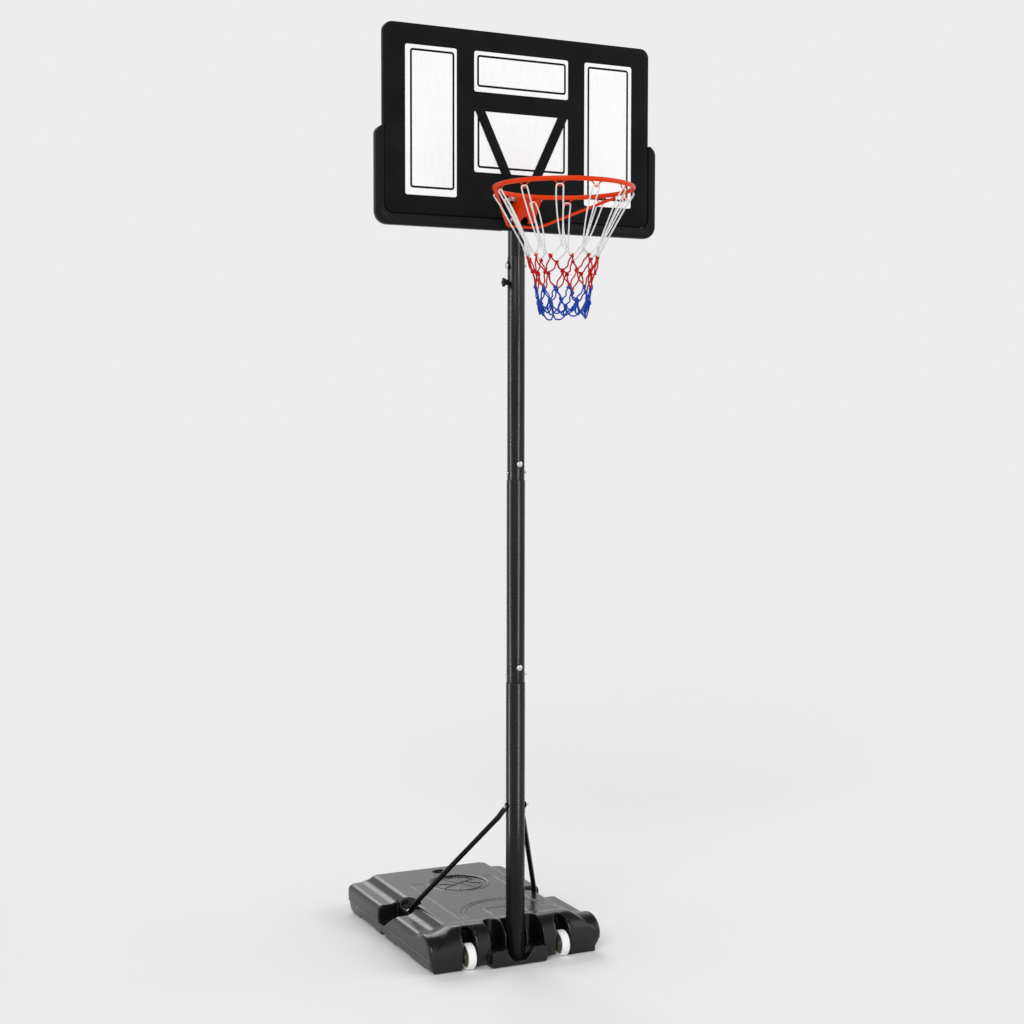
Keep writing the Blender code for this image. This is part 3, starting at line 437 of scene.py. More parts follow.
def lathe(profile, centre, axis, segments=48, ring=False, shape=None):
    """Vertices and faces of a turned form; shape(angle) scales the radius for lobes and flats."""
    across, up, along = axes_of(axis)
    centre = Vector(centre)
    vertices, rows, faces = [], [], []
    for radius, height in profile:
        row = []
        for k in range(1 if radius == 0.0 else segments):
            angle = 2.0 * math.pi * k / segments
            reach = radius * (shape(angle) if shape else 1.0)
            row.append(len(vertices))
            spoke = across * math.cos(angle) + up * math.sin(angle)
            vertices.append(centre + along * height + spoke * reach)
        rows.append(row)
    pairs = list(zip(rows, rows[1:]))
    if ring:
        pairs.append((rows[-1], rows[0]))
    for low, high in pairs:
        if len(low) == 1 and len(high) == 1:
            continue
        for k in range(segments):
            n = (k + 1) % segments
            if len(low) == 1:
                faces.append((low[0], high[n], high[k]))
            elif len(high) == 1:
                faces.append((low[k], low[n], high[0]))
            else:
                faces.append((low[k], low[n], high[n], high[k]))
    return vertices, faces


def hexagon(angle):
    """How far a hexagon with unit flats' corners reaches, as a share of the corner radius."""
    sixth = math.pi / 3.0
    return math.cos(sixth / 2.0) / math.cos((angle % sixth) - sixth / 2.0)


def merged(*parts):
    """One vertex and face list from several."""
    vertices, faces = [], []
    for some_vertices, some_faces in parts:
        start = len(vertices)
        vertices += list(some_vertices)
        faces += [tuple(i + start for i in face) for face in some_faces]
    return vertices, faces


def end_caps(total, count):
    """Faces that close the first and the last of the rows of points in a skin."""
    return [tuple(range(count)), tuple(range(total - 1, total - count - 1, -1))]


def skinned(rows):
    """A closed skin over rows of points, each row a loop of the same count."""
    count = len(rows[0])
    vertices = [point for row in rows for point in row]
    faces = end_caps(len(vertices), count)
    for r in range(len(rows) - 1):
        for k in range(count):
            n = (k + 1) % count
            faces.append((r * count + k, r * count + n, (r + 1) * count + n, (r + 1) * count + k))
    return vertices, faces


def swept(points, radius, sides=10, closed=False, turns=0.0, flat=1.0, cap=True):
    """A tube along a line of points, with texture places along it. radius may be a list."""
    points = [Vector(p) for p in points]
    count = len(points)
    radii = radius if isinstance(radius, (list, tuple)) else [radius] * count
    tangents = []
    for i in range(count):
        before = points[(i - 1) % count if closed else max(i - 1, 0)]
        after = points[(i + 1) % count if closed else min(i + 1, count - 1)]
        tangents.append((after - before).normalized())
    across = tangents[0].orthogonal().normalized()
    frames = []
    for tangent in tangents:
        across = (across - tangent * across.dot(tangent)).normalized()
        frames.append((across.copy(), tangent.cross(across)))
    twist = 0.0
    if closed:
        last = frames[-1][0] - tangents[0] * frames[-1][0].dot(tangents[0])
        twist = math.atan2(last.dot(frames[0][1]), last.dot(frames[0][0]))
    vertices, faces, places = [], [], []
    length = 0.0
    for i in range(count):
        if i:
            length += (points[i] - points[i - 1]).length
        side, up = frames[i]
        for k in range(sides):
            angle = 2.0 * math.pi * (k + turns * i) / sides - twist * i / count
            vertices.append(points[i] + (side * math.cos(angle) + up * math.sin(angle) * flat) * radii[i])
            places.append((length / 0.012, k / sides * 2.0))
    rows = count if closed else count - 1
    for i in range(rows):
        a, b = i * sides, ((i + 1) % count) * sides
        for k in range(sides):
            n = (k + 1) % sides
            faces.append((a + k, a + n, b + n, b + k))
    if not closed and cap:
        faces.append(tuple(range(sides - 1, -1, -1)))
        faces.append(tuple(range((count - 1) * sides, count * sides)))
    return vertices, faces, places


def rounded_loop(x_low, x_high, z_low, z_high, radius, steps=8):
    """The outline of a rectangle with rounded corners."""
    outline = []
    corners = ((x_high, z_low, -90.0), (x_high, z_high, 0.0), (x_low, z_high, 90.0), (x_low, z_low, 180.0))
    for x, z, start in corners:
        centre_x = x - radius if x == x_high else x + radius
        centre_z = z - radius if z == z_high else z + radius
        for k in range(steps + 1):
            angle = math.radians(start + 90.0 * k / steps)
            outline.append((centre_x + radius * math.cos(angle), centre_z + radius * math.sin(angle)))
    return outline


def moulding(rect, corner, profile, steps=8, closed=True):
    """A frame round a rectangle: profile points are (inset, y), followed round rounded corners."""
    x_low, x_high, z_low, z_high = rect
    vertices, faces = [], []
    count = 4 * (steps + 1)
    for inset, y in profile:
        radius = max(corner - inset, 0.0008)
        loop = rounded_loop(x_low + inset, x_high - inset, z_low + inset, z_high - inset, radius, steps)
        vertices += [Vector((x, y, z)) for x, z in loop]
    rows = len(profile)
    for r in range(rows if closed else rows - 1):
        a, b = r * count, ((r + 1) % rows) * count
        for k in range(count):
            n = (k + 1) % count
            faces.append((a + k, a + n, b + n, b + k))
    return vertices, faces


def extruded(outline, axis, low, high):
    """A straight prism; outline points are the other two coordinates in X, Y, Z order."""
    def put(a, b, c):
        return Vector({"X": (c, a, b), "Y": (a, c, b), "Z": (a, b, c)}[axis])

    count = len(outline)
    vertices = [put(a, b, low) for a, b in outline] + [put(a, b, high) for a, b in outline]
    faces = [tuple(range(count)), tuple(range(2 * count - 1, count - 1, -1))]
    for k in range(count):
        n = (k + 1) % count
        faces.append((k, n, count + n, count + k))
    return vertices, faces


def applied(piece):
    """Replace the piece's mesh with what its modifiers make of it."""
    bpy.context.view_layer.update()
    evaluated = piece.evaluated_get(bpy.context.evaluated_depsgraph_get())
    mesh = bpy.data.meshes.new_from_object(evaluated)
    piece.modifiers.clear()
    old = piece.data
    piece.data = mesh
    bpy.data.meshes.remove(old)
    return piece


def carved(piece, shapes, operation="DIFFERENCE"):
    """Cut closed shapes, given as (vertices, faces), out of a piece, or join them to it."""
    cutters = []
    for vertices, faces in shapes:
        mesh = bpy.data.meshes.new("cutter")
        mesh.from_pydata([tuple(v) for v in vertices], [], faces)
        shape = bmesh.new()
        shape.from_mesh(mesh)
        bmesh.ops.recalc_face_normals(shape, faces=shape.faces)
        shape.to_mesh(mesh)
        shape.free()
        cutter = bpy.data.objects.new("cutter", mesh)
        bpy.context.scene.collection.objects.link(cutter)
        modifier = piece.modifiers.new("cut", "BOOLEAN")
        modifier.operation = operation
        modifier.solver = "EXACT"
        modifier.object = cutter
        cutters.append(cutter)
    applied(piece)
    for cutter in cutters:
        mesh = cutter.data
        bpy.data.objects.remove(cutter)
        bpy.data.meshes.remove(mesh)
    return piece


def eased(piece, width, segments=3, angle=30.0, shade=40.0):
    """Round the sharp edges of a piece and shade it smoothly across the rounds."""
    modifier = piece.modifiers.new("ease", "BEVEL")
    modifier.width = width
    modifier.segments = segments
    modifier.limit_method = "ANGLE"
    modifier.angle_limit = math.radians(angle)
    modifier.harden_normals = True
    applied(piece)
    shape = bmesh.new()
    shape.from_mesh(piece.data)
    for face in shape.faces:
        face.smooth = True
    for edge in shape.edges:
        edge.smooth = not edge.is_manifold or edge.calc_face_angle(0.0) < math.radians(shade)
    shape.to_mesh(piece.data)
    shape.free()
    return piece


def cylinder(centre, axis, radius, low, high, segments=32):
    """A closed straight cylinder, mostly used to drill holes."""
    return lathe([(0.0, low), (radius, low), (radius, high), (0.0, high)], centre, axis, segments)


# ---- moulded tank -----------------------------------------------------------------------------
def most(a, b, soft):
    """Smooth maximum: the crease between two surfaces is rounded over the given size."""
    share = np.maximum(soft - np.abs(a - b), 0.0) / soft
    return np.maximum(a, b) + share * share * soft * 0.25


def least(a, b, soft):
    """Smooth minimum, the join of two bodies with a fillet."""
    return -most(-a, -b, soft)


def rounded_box(x, y, z, low, high, radius):
    """Distance to a box between two corners with every edge rounded."""
    parts = []
    for value, a, b in zip((x, y, z), low, high):
        parts.append(np.abs(value - (a + b) / 2.0) - (b - a) / 2.0 + radius)
    outside = np.sqrt(sum(np.maximum(p, 0.0) ** 2 for p in parts))
    return outside + np.minimum(np.maximum(np.maximum(parts[0], parts[1]), parts[2]), 0.0) - radius


def bead(distance, width, height):
    """How far a raised line of the given width stands up at that distance from its centre."""
    share = np.clip(1.0 - np.abs(distance) / (width / 2.0), 0.0, 1.0)
    return height * share * share * (3.0 - 2.0 * share)


def deck_relief(x, y):
    """Height added to the deck: a court outline, a ball medallion's dish and its ring."""
    rise = np.zeros_like(x)
    radial = np.hypot(x - MEDALLION.x, y - MEDALLION.y)
    clear = radial > MEDALLION_RADIUS + 0.012
    for arc_radius in (0.172, 0.190):
        arc = np.hypot(x - 0.040, (y - 0.125)) - arc_radius
        rise = np.maximum(rise, np.where(y > 0.118, bead(arc, 0.0070, 0.0024), 0.0))
    lane_x = np.abs(x - 0.040) - 0.074
    lane_y = y - 0.205
    lane = np.maximum(lane_x, lane_y)
    rise = np.maximum(rise, np.where(y > 0.118, bead(lane, 0.0070, 0.0024), 0.0))
    court = np.maximum(np.abs(x - 0.012) - 0.180, y - 0.625)
    rise = np.maximum(rise, np.where((y > 0.118) & clear, bead(court, 0.0070, 0.0020), 0.0))
    rise = np.maximum(rise, bead(radial - MEDALLION_RADIUS - 0.004, 0.012, 0.0022))
    dish = np.clip((MEDALLION_RADIUS - 0.004 - radial) / 0.006, 0.0, 1.0)
    inner = bead(radial - 0.094, 0.010, 0.0034)
    u = (x - MEDALLION.x) * math.cos(0.5) + (y - MEDALLION.y) * math.sin(0.5)
    v = -(x - MEDALLION.x) * math.sin(0.5) + (y - MEDALLION.y) * math.cos(0.5)
    ball = radial < 0.092
    seams = np.maximum(bead(u, 0.009, 0.0030), bead(v, 0.009, 0.0030))
    for side in (-1.0, 1.0):
        seams = np.maximum(seams, bead(np.hypot(u - side * 0.105, v) - 0.070, 0.009, 0.0030))
    dome = 0.0030 * np.clip(1.0 - (radial / 0.094) ** 2, 0.0, 1.0)
    lines = np.maximum(inner, np.where(ball, seams, 0.0))
    inside = -0.0055 * dish + lines * (dish > 0.5) + dome * (dish > 0.5)
    return rise + inside


def tank_field(x, y, z):
    """Distance from the moulded skin of the ballast tank; negative inside it."""
    side = np.abs(x)
    taper = np.clip((PARTING_Z - z) / PARTING_Z, 0.0, 1.0)
    half = TANK_HALF - 0.0120 * taper ** 1.5 - 0.0022 * (z < PARTING_Z - 0.0012)
    groove = np.clip(1.0 - np.abs(z - PARTING_Z) / 0.0018, 0.0, 1.0)
    half = half - 0.0012 * groove
    wall = side - half
    back = y - (TANK_BACK - 0.004 * taper)
    fall = np.clip((side - 0.215) / 0.100, 0.0, 1.0)
    squat = 1.0 - 0.20 * fall * fall * (3.0 - 2.0 * fall)
    above = np.maximum(z - ROLL_Z, 0.0) / squat + np.minimum(z - ROLL_Z, 0.0)
    roll = (np.hypot(y - ROLL_Y, above) - ROLL_RADIUS) * squat
    roll = most(roll, 0.006 - z, 0.008)
    shell = most(z - SHOULDER_Z, 0.060 - y, 0.010)
    shell = least(shell, roll, 0.013)
    ease = 0.016 + 0.010 * np.clip((y - 0.060) / 0.090, 0.0, 1.0)
    shell = most(shell, most(wall, back, 0.030), ease)
    slope_out = most((side - 0.246) * 0.715 + (z - DECK_Z) * 0.699,
                     (y - 0.838) * 0.78 + (z - DECK_Z) * 0.625, 0.020)
    deck_top = z - DECK_Z + 0.0016 - deck_relief(x, y)
    nose = np.hypot(np.minimum(y - 0.070, 0.0), z - ROLL_Z) - ROLL_RADIUS - 0.004
    deck = most(most(slope_out, deck_top, 0.010), nose, 0.004)
    deck = most(deck, 0.060 - z, 0.004)
    body = most(least(shell, deck, 0.016), back, 0.010)
    under = rounded_box(side, y, z, (0.214, -0.014, 0.0), (0.330, 0.300, 0.026), 0.005)
    middle = rounded_box(side, y, z, (-0.160, 0.004, 0.004), (0.160, 0.200, 0.030), 0.006)
    body = least(least(body, under, 0.004), middle, 0.006)
    plate = rounded_box(x, y, z, (-0.112, -0.0470, 0.0), (0.112, 0.080, POCKET_FLOOR_Z + 0.004), 0.003)
    plate = most(plate, (side - 0.112) * 0.8 - z * 0.5, 0.003)
    plate = most(plate, (-0.0470 - y) * 0.7 + (0.012 - z) * 0.7, 0.002)
    body = least(body, plate, 0.006)
    for centre_x in (-WHEEL_X, WHEEL_X):
        off = x - centre_x
        slot = np.where(z < 0.110, np.abs(off) - 0.0235, np.hypot(off, z - 0.110) - 0.0235)
        slot = most(slot, y - 0.070, 0.004)
        body = most(body, -slot, 0.012)
        flare = np.hypot(off, np.maximum(z - 0.112, 0.0) * 0.9) - 0.030
        flare = most(flare, y - 0.078, 0.004)
        flare = most(flare, 0.126 - z, 0.008)
        body = most(body, -flare, 0.008)
    pocket = most(np.abs(side - 0.0775) - 0.0305, y - 0.046, 0.003)
    pocket = np.minimum(pocket, np.hypot(side - 0.0775, y - 0.046) - 0.0300)
    pocket = most(most(pocket, POCKET_FLOOR_Z - z, 0.004), -0.0395 - y, 0.002)
    body = most(body, -pocket, 0.005)
    centre = most(most(side - 0.0400, y - 0.056, 0.006), POCKET_FLOOR_Z - z, 0.004)
    centre = most(centre, -0.0395 - y, 0.002)
    body = most(body, -centre, 0.004)
    lip = rounded_box(x, y, z, (-0.108, -0.0465, 0.004), (0.108, -0.0395, 0.064), 0.002)
    lip = most(lip, (side - 0.108) * 0.8 + (z - 0.040) * 0.5, 0.003)
    body = least(body, lip, 0.003)
    vee = most(most(side - 0.026 - (z - 0.0195) * 0.75, 0.0195 - z, 0.004), y + 0.015, 0.004)
    body = most(body, -vee, 0.003)
    socket = most(np.hypot(x, y) - BOTTOM_RADIUS - 0.0010, 0.0190 - z, 0.002)
    body = most(body, -socket, 0.002)
    flank = (y - 0.462) * -0.491 + (z - 0.050) * -0.871
    notch = most(most(0.266 - side, y - NOTCH_BACK_Y, 0.004), 0.052 - z, 0.004)
    notch = most(most(notch, flank, 0.006), NOTCH_FRONT_Y - y, 0.004)
    body = most(body, -notch, 0.007)
    arch = (np.abs((side - 0.306) / 0.092) ** 2.6 + np.abs((y - 0.417) / 0.070) ** 2.6) ** (1.0 / 2.6)
    arch = (arch - 1.0) * 0.070
    shelf = most(arch, SHELF_Z - z, 0.004)
    body = most(body, -shelf, 0.006)
    grip = rounded_box(side, y, z, (0.300, 0.462, -0.05), (0.420, 0.512, 0.017), 0.004)
    body = most(body, -grip, 0.004)
    for low_y, high_y in ((0.212, 0.368), (0.582, 0.758)):
        gap = rounded_box(side, y, z, (0.285, low_y, -0.05), (0.420, high_y, 0.009), 0.004)
        body = most(body, -gap, 0.005)
    body = most(body, ((side - 0.3335) * 0.72 - (z - 0.0) * 0.69), 0.010)
    body = most(body, ((y - 0.852) * 0.70 - z * 0.71), 0.014)
    recess = most(np.hypot(x - FILLER.x, y - FILLER.y) - 0.026, DECK_Z - 0.0080 - z, 0.001)
    body = most(body, -recess, 0.003)
    neck = most(np.hypot(x - FILLER.x, y - FILLER.y) - 0.0165, 0.118 - z, 0.001)
    body = most(body, -neck, 0.0015)
    return most(body, -z, 0.003)


def net_surface(field, low, step):
    """Quads through the zero level of a sampled field: one point per cell that the skin crosses."""
    inside = field < 0.0
    nx, ny, nz = (n - 1 for n in field.shape)
    count = np.zeros((nx, ny, nz), np.uint8)
    corners = [(i, j, k) for i in (0, 1) for j in (0, 1) for k in (0, 1)]
    for i, j, k in corners:
        count += inside[i:nx + i, j:ny + j, k:nz + k]
    mixed = (count > 0) & (count < 8)
    cells = np.argwhere(mixed)
    number = np.full(mixed.shape, -1, np.int64)
    number[mixed] = np.arange(len(cells))
    total = np.zeros((len(cells), 3))
    crossings = np.zeros(len(cells))
    for a in corners:
        for axis in range(3):
            if a[axis]:
                continue
            b = tuple(a[n] + (n == axis) for n in range(3))
            va = field[tuple((cells + a).T)]
            vb = field[tuple((cells + b).T)]
            crossed = (va < 0.0) != (vb < 0.0)
            share = np.where(crossed, va / np.where(crossed, va - vb, 1.0), 0.0)
            point = np.array(a, float) + share[:, None] * (np.array(b, float) - np.array(a, float))
            total += point * crossed[:, None]
            crossings += crossed
    points = np.array(low) + step * (cells + total / crossings[:, None])
    quads = []
    for axis in range(3):
        u, v = [n for n in range(3) if n != axis]
        ahead = [slice(None)] * 3
        here = [slice(None)] * 3
        ahead[axis] = slice(1, None)
        here[axis] = slice(None, -1)
        change = inside[tuple(here)] != inside[tuple(ahead)]
        places = np.argwhere(change)
        places = places[(places[:, u] > 0) & (places[:, v] > 0) & (places[:, u] < field.shape[u] - 1)
                        & (places[:, v] < field.shape[v] - 1)]
        ring = []
        for du, dv in ((-1, -1), (0, -1), (0, 0), (-1, 0)):
            cell = places.copy()
            cell[:, u] += du
            cell[:, v] += dv
            ring.append(number[tuple(cell.T)])
        quad = np.stack(ring, 1)
        outward = inside[tuple(places.T)]
        if axis == 1:
            outward = ~outward
        quad[~outward] = quad[~outward][:, ::-1]
        quads.append(quad)
    return points, np.concatenate(quads)


def slope_of(function, points, reach=0.0006):
    x, y, z = points.T
    out = []
    for dx, dy, dz in ((reach, 0, 0), (0, reach, 0), (0, 0, reach)):
        out.append((function(x + dx, y + dy, z + dz) - function(x - dx, y - dy, z - dz)) / (2.0 * reach))
    return np.stack(out, 1)


def moulded_tank():
    step = 0.0033
    low = (-0.356, -0.056, -0.008)
    high = (0.356, 0.884, 0.162)
    axes = [np.arange(a, b, step) for a, b in zip(low, high)]
    x, y, z = np.meshgrid(*axes, indexing="ij")
    points, quads = net_surface(tank_field(x, y, z), low, step)
    for _ in range(4):
        slope = slope_of(tank_field, points)
        size = np.maximum((slope ** 2).sum(1), 0.25)
        move = -tank_field(*points.T) / size
        points += slope * np.clip(move, -step * 0.35, step * 0.35)[:, None]
    piece = mesh_piece("tank_moulding", points.tolist(), quads.tolist(), "tank_plastic", "base_tank",
                       angle=180.0,
                       fix_normals=False)
    thin = piece.modifiers.new("thin", "DECIMATE")
    thin.ratio = 0.62
    applied(piece)
    for polygon in piece.data.polygons:
        polygon.use_smooth = True
    places = np.zeros(len(piece.data.vertices) * 3)
    piece.data.vertices.foreach_get("co", places)
    slope = slope_of(tank_field, places.reshape(-1, 3))
    slope /= np.maximum(np.linalg.norm(slope, axis=1), 1e-9)[:, None]
    piece.data.normals_split_custom_set_from_vertices(slope.tolist())
    return piece


moulded_tank()


def ballast():
    """The water in the tank: the tank's own shape drawn in by a wall, up to just under the deck."""
    def field(x, y, z):
        inside = np.maximum(tank_field(x, y, z) + 0.0052, np.maximum(0.0945 - y, 0.0168 - z))
        bosses = 0.0150 - np.hypot(np.abs(x) - BRACE_FOOT.x, y - BRACE_FOOT.y)
        neck = np.where(z > 0.120, 0.0340 - np.hypot(x - FILLER.x, y - FILLER.y), -1.0)
        return np.maximum(np.maximum(inside, np.where(z > 0.070, bosses, -1.0)), neck)

    step = 0.008
    low = (-0.352, 0.080, 0.004)
    x, y, z = np.meshgrid(*[np.arange(a, b, step) for a, b in zip(low, (0.356, 0.884, 0.162))], indexing="ij")
    points, quads = net_surface(field(x, y, z), low, step)
    return mesh_piece("ballast_water", points.tolist(), quads.tolist(), "water", "water_ballast", angle=60.0,
                      fix_normals=False)


ballast()

# filler cap with a knurled skirt and a grip bar, over its sealing ring
cap_profile = softened([(0.0, -0.0190), (0.0140, -0.0190), (0.0156, -0.0172), (0.0156, -0.0052),
                        (0.0223, -0.0052),
                        (0.0223, -0.0006), (0.0212, 0.0006), (0.0190, 0.0006), (0.0184, -0.0004),
                        (0.0, -0.0004)],
                       0.0006, 2)
cap_skin = lathe(cap_profile, FILLER, "Z", 72, shape=lambda t: 1.0 - 0.010 * (0.5 + 0.5 * math.cos(36.0 * t)))
cap_bar = []
for inset, height in ((0.0, -0.0020), (0.0, 0.0044), (0.0006, 0.0056), (0.0016, 0.0063)):
    loop = rounded_loop(-0.0176 + inset, 0.0176 - inset, -0.0034 + inset, 0.0034 - inset, 0.0030 - inset, 4)
    cap_bar.append([FILLER + Vector((a, b, height)) for a, b in loop])
mesh_piece("filler_cap_knurled", *merged(cap_skin, skinned(cap_bar)), "black_plastic", "filler_cap")
seal_loop = [(0.0194 + 0.0027 * math.cos(2 * math.pi * k / 12),
              -0.0066 + 0.0011 * math.sin(2 * math.pi * k / 12))
             for k in range(12)]
mesh_piece("cap_seal_ring", *lathe(seal_loop, FILLER, "Z", 64, ring=True), "seal_rubber", "cap_seal")

# ---- wheels and axle ---------------------------------------------------------------------------
axle = softened([(0.0, -0.2350), (0.0040, -0.2350), (0.0049, -0.2338), (0.0049, 0.2338), (0.0040, 0.2350),
                 (0.0, 0.2350)], 0.0006, 2)
mesh_piece("wheel_axle_rod", *lathe(axle, (0.0, 0.0, WHEEL_RADIUS), "X", 40), "zinc_steel", "wheel_axle")
half_wheel = WHEEL_WIDTH / 2.0
for side, sign in (("left", -1.0), ("right", 1.0)):
    centre = (sign * WHEEL_X, 0.0, WHEEL_RADIUS)
    tread = [(0.0385, -half_wheel + 0.0045), (0.0395, -half_wheel + 0.0006), (0.0412, -half_wheel)]
    tread += [(0.0446, -half_wheel + 0.0003), (0.0466, -half_wheel + 0.0020),
              (WHEEL_RADIUS, -half_wheel + 0.0052)]
    tread += [(WHEEL_RADIUS, -0.0012), (WHEEL_RADIUS - 0.0005, -0.0006), (WHEEL_RADIUS - 0.0005, 0.0006)]
    tread += [(WHEEL_RADIUS, 0.0012), (WHEEL_RADIUS, half_wheel - 0.0052), (0.0466, half_wheel - 0.0020)]
    tread += [(0.0446, half_wheel - 0.0003), (0.0412, half_wheel), (0.0395, half_wheel - 0.0006)]
    tread += [(0.0385, half_wheel - 0.0045)]
    mesh_piece("wheel_%s_tread" % side, *lathe(tread, centre, "X", 96, ring=True), "wheel_plastic",
               "wheel_" + side)
    web = [(0.0384, -0.0105), (0.0384, 0.0105), (0.0340, 0.0092), (0.0180, 0.0085), (0.0140, 0.0098)]
    web += [(0.0132, half_wheel - 0.0004), (0.0120, half_wheel), (0.0064, half_wheel),
            (0.0052, half_wheel - 0.0010)]
    web += [(0.0052, -half_wheel + 0.0010), (0.0064, -half_wheel), (0.0120, -half_wheel)]
    web += [(0.0132, -half_wheel + 0.0004), (0.0140, -0.0098), (0.0180, -0.0085), (0.0340, -0.0092)]
    hub = lathe(web, centre, "X", 72, ring=True)
    ribs = []
    for number in range(8):
        angle = 2.0 * math.pi * number / 8.0
        for face in (-1.0, 1.0):
            line = [Vector(centre) + Vector((face * 0.0096, 0.0, 0.0))
                    + Vector((0.0, math.cos(angle), math.sin(angle))) * reach for reach in (0.0125, 0.0220,
                                                                                            0.0380)]
            ribs.append(swept(line, [0.0022, 0.0019, 0.0022], 8)[:2])
    # The hub and its ribs carry the painted shade of the wheel's side.
    mesh_piece("wheel_%s_hub" % side, *merged(hub, *ribs), "wheel_plastic", body="wheel_" + side,
               finish=hub_shade_finish)


# ---- pole ----------------------------------------------------------------------------------------
def tube(name, node, radius, low, high, swage=None, top_roll=True):
    """A steel tube with deburred ends; its top is necked down to the swage radius if there is one."""
    inner = radius - TUBE_WALL
    ease = 0.0006
    outer = [(inner, low + ease), (inner + ease, low), (radius - ease, low), (radius, low + ease)]
    if swage is None:
        outer += [(radius, high - ease), (radius - ease, high), (inner + ease, high), (inner, high - ease)]
    else:
        neck = high - 0.090
        outer += [(radius, neck - 0.0034), (radius - 0.0005, neck - 0.0018), (swage + 0.0012, neck - 0.0006)]
        outer += [(swage, neck), (swage, high - ease), (swage - ease, high), (swage - TUBE_WALL, high - ease)]
        outer += [(swage - TUBE_WALL, neck - 0.004), (inner, neck - 0.010)]
    return mesh_piece(name, *lathe(outer, (0.0, 0.0, 0.0), "Z", 96, ring=True), "black_steel", node,
                      angle=50.0)


tube("pole_bottom_tube", "pole_bottom", BOTTOM_RADIUS, POLE_FOOT_Z, LOWER_JOINT_Z + 0.090, 0.0312)
tube("pole_middle_tube", "pole_middle", MIDDLE_RADIUS, LOWER_JOINT_Z, UPPER_JOINT_Z + 0.090, 0.0294)
sleeve_inner = INNER_RADIUS + GAP
sleeve_line = [(sleeve_inner, UPPER_JOINT_Z + 0.0005), (SLEEVE_RADIUS - 0.0006, UPPER_JOINT_Z),
               (SLEEVE_RADIUS, UPPER_JOINT_Z + 0.0006), (SLEEVE_RADIUS, SLEEVE_TOP_Z - 0.0010),
               (SLEEVE_RADIUS - 0.0008, SLEEVE_TOP_Z), (sleeve_inner, SLEEVE_TOP_Z - 0.0004)]
mesh_piece("pole_sleeve_tube", *lathe(sleeve_line, (0.0, 0.0, 0.0), "Z", 96, ring=True), "black_steel",
           "pole_sleeve", angle=50.0)
inner_pole = tube("pole_inner_tube", "pole_inner", INNER_RADIUS, 2.150, 3.200)
slot_half = BOLT_RADIUS + GAP
slot_line = [(slot_half * math.cos(math.pi * k / 12), HEIGHT_BOLT_Z + slot_half * math.sin(math.pi * k / 12))
             for k in range(13)]
slot_line += [(slot_half * math.cos(math.pi + math.pi * k / 12),
               HEIGHT_BOLT_Z - 0.262 + slot_half * math.sin(math.pi + math.pi * k / 12)) for k in range(13)]
carved(inner_pole, [extruded(slot_line, "X", -0.1, 0.1)])
eased(inner_pole, 0.0002, 1, 60.0, 40.0)
plug = INNER_RADIUS - TUBE_WALL - GAP
top_cap = softened([(0.0, -0.018), (plug - 0.002, -0.018), (plug, -0.016), (plug, GAP), (INNER_RADIUS, GAP),
                    (INNER_RADIUS, 0.0030), (INNER_RADIUS - 0.0030, 0.0056), (0.012, 0.0060),
                    (0.0110, 0.0052),
                    (0.0, 0.0052)], 0.0008)
mesh_piece("pole_top_plug", *lathe(top_cap, (0.0, 0.0, 3.200), "Z", 72), "black_plastic", "pole_top_cap")


# ---- fasteners -------------------------------------------------------------------------------------
def threaded(radius, start, end, pitch=0.00125):
    """A rolled thread as turned rings between two places along a bolt."""
    rows = []
    count = max(int((end - start) / pitch), 1)
    for k in range(count):
        at = start + (end - start) * k / count
        step = (end - start) / count
        rows += [(radius - 0.0004, at), (radius, at + step * 0.35), (radius, at + step * 0.55)]
    return rows


def hex_bolt(name, centre, axis, length, across=0.0065):
    """A bolt with a flanged hexagon head, seated at the centre, and a rolled thread at its end."""
    flats = lathe([(0.0, -0.00515), (across * 0.86, -0.0052), (across, -0.0044), (across, -0.0004),
                   (across * 0.95, 0.0), (0.0, 0.0)], centre, axis, 48, shape=lambda t: hexagon(t) / 0.99)
    start = length - THREAD_LENGTH
    shank = lathe([(0.0, -0.0002), (BOLT_RADIUS, -0.0002), (BOLT_RADIUS, start)]
                  + threaded(BOLT_RADIUS, start, length - 0.0008)
                  + [(BOLT_RADIUS - 0.0010, length), (0.0, length)], centre, axis, 28)
    return mesh_piece(name + "_hex", *merged(flats, shank), "zinc_steel", name, angle=28.0)


def round_bolt(name, centre, axis, length, head):
    """A bolt with a domed head of the given radius, seated at the centre."""
    dome = [(0.0, -0.0055)]
    for k in range(1, 9):
        angle = math.radians(90.0 - 11.0 * k)
        dome.append((head * math.cos(angle) / math.cos(math.radians(2.0)),
                     -0.0008 - 0.0047 * math.sin(angle)))
    start = length - THREAD_LENGTH
    dome += [(head, -0.0006), (head - 0.0004, 0.0), (BOLT_RADIUS, 0.0), (BOLT_RADIUS, start)]
    dome += threaded(BOLT_RADIUS, start, length - 0.0008)
    dome += [(BOLT_RADIUS - 0.0010, length), (0.0, length)]
    return mesh_piece(name + "_round", *lathe(dome, centre, axis, 40), "zinc_steel", name, angle=32.0)


def hex_nut(name, centre, axis, across=0.0070, height=0.0060):
    """A hexagon nut that seats at the centre."""
    hole = BOLT_RADIUS + GAP
    line = [(hole, 0.0006), (hole + 0.0006, 0.0), (across * 0.90, 0.0), (across, 0.0006),
            (across, height - 0.0006),
            (across * 0.88, height), (hole + 0.0006, height), (hole, height - 0.0006)]
    return mesh_piece(name + "_hex", *lathe(line, centre, axis, 48, ring=True,
                                            shape=lambda t: hexagon(t) / 0.99),
                      "zinc_steel", name, angle=28.0)


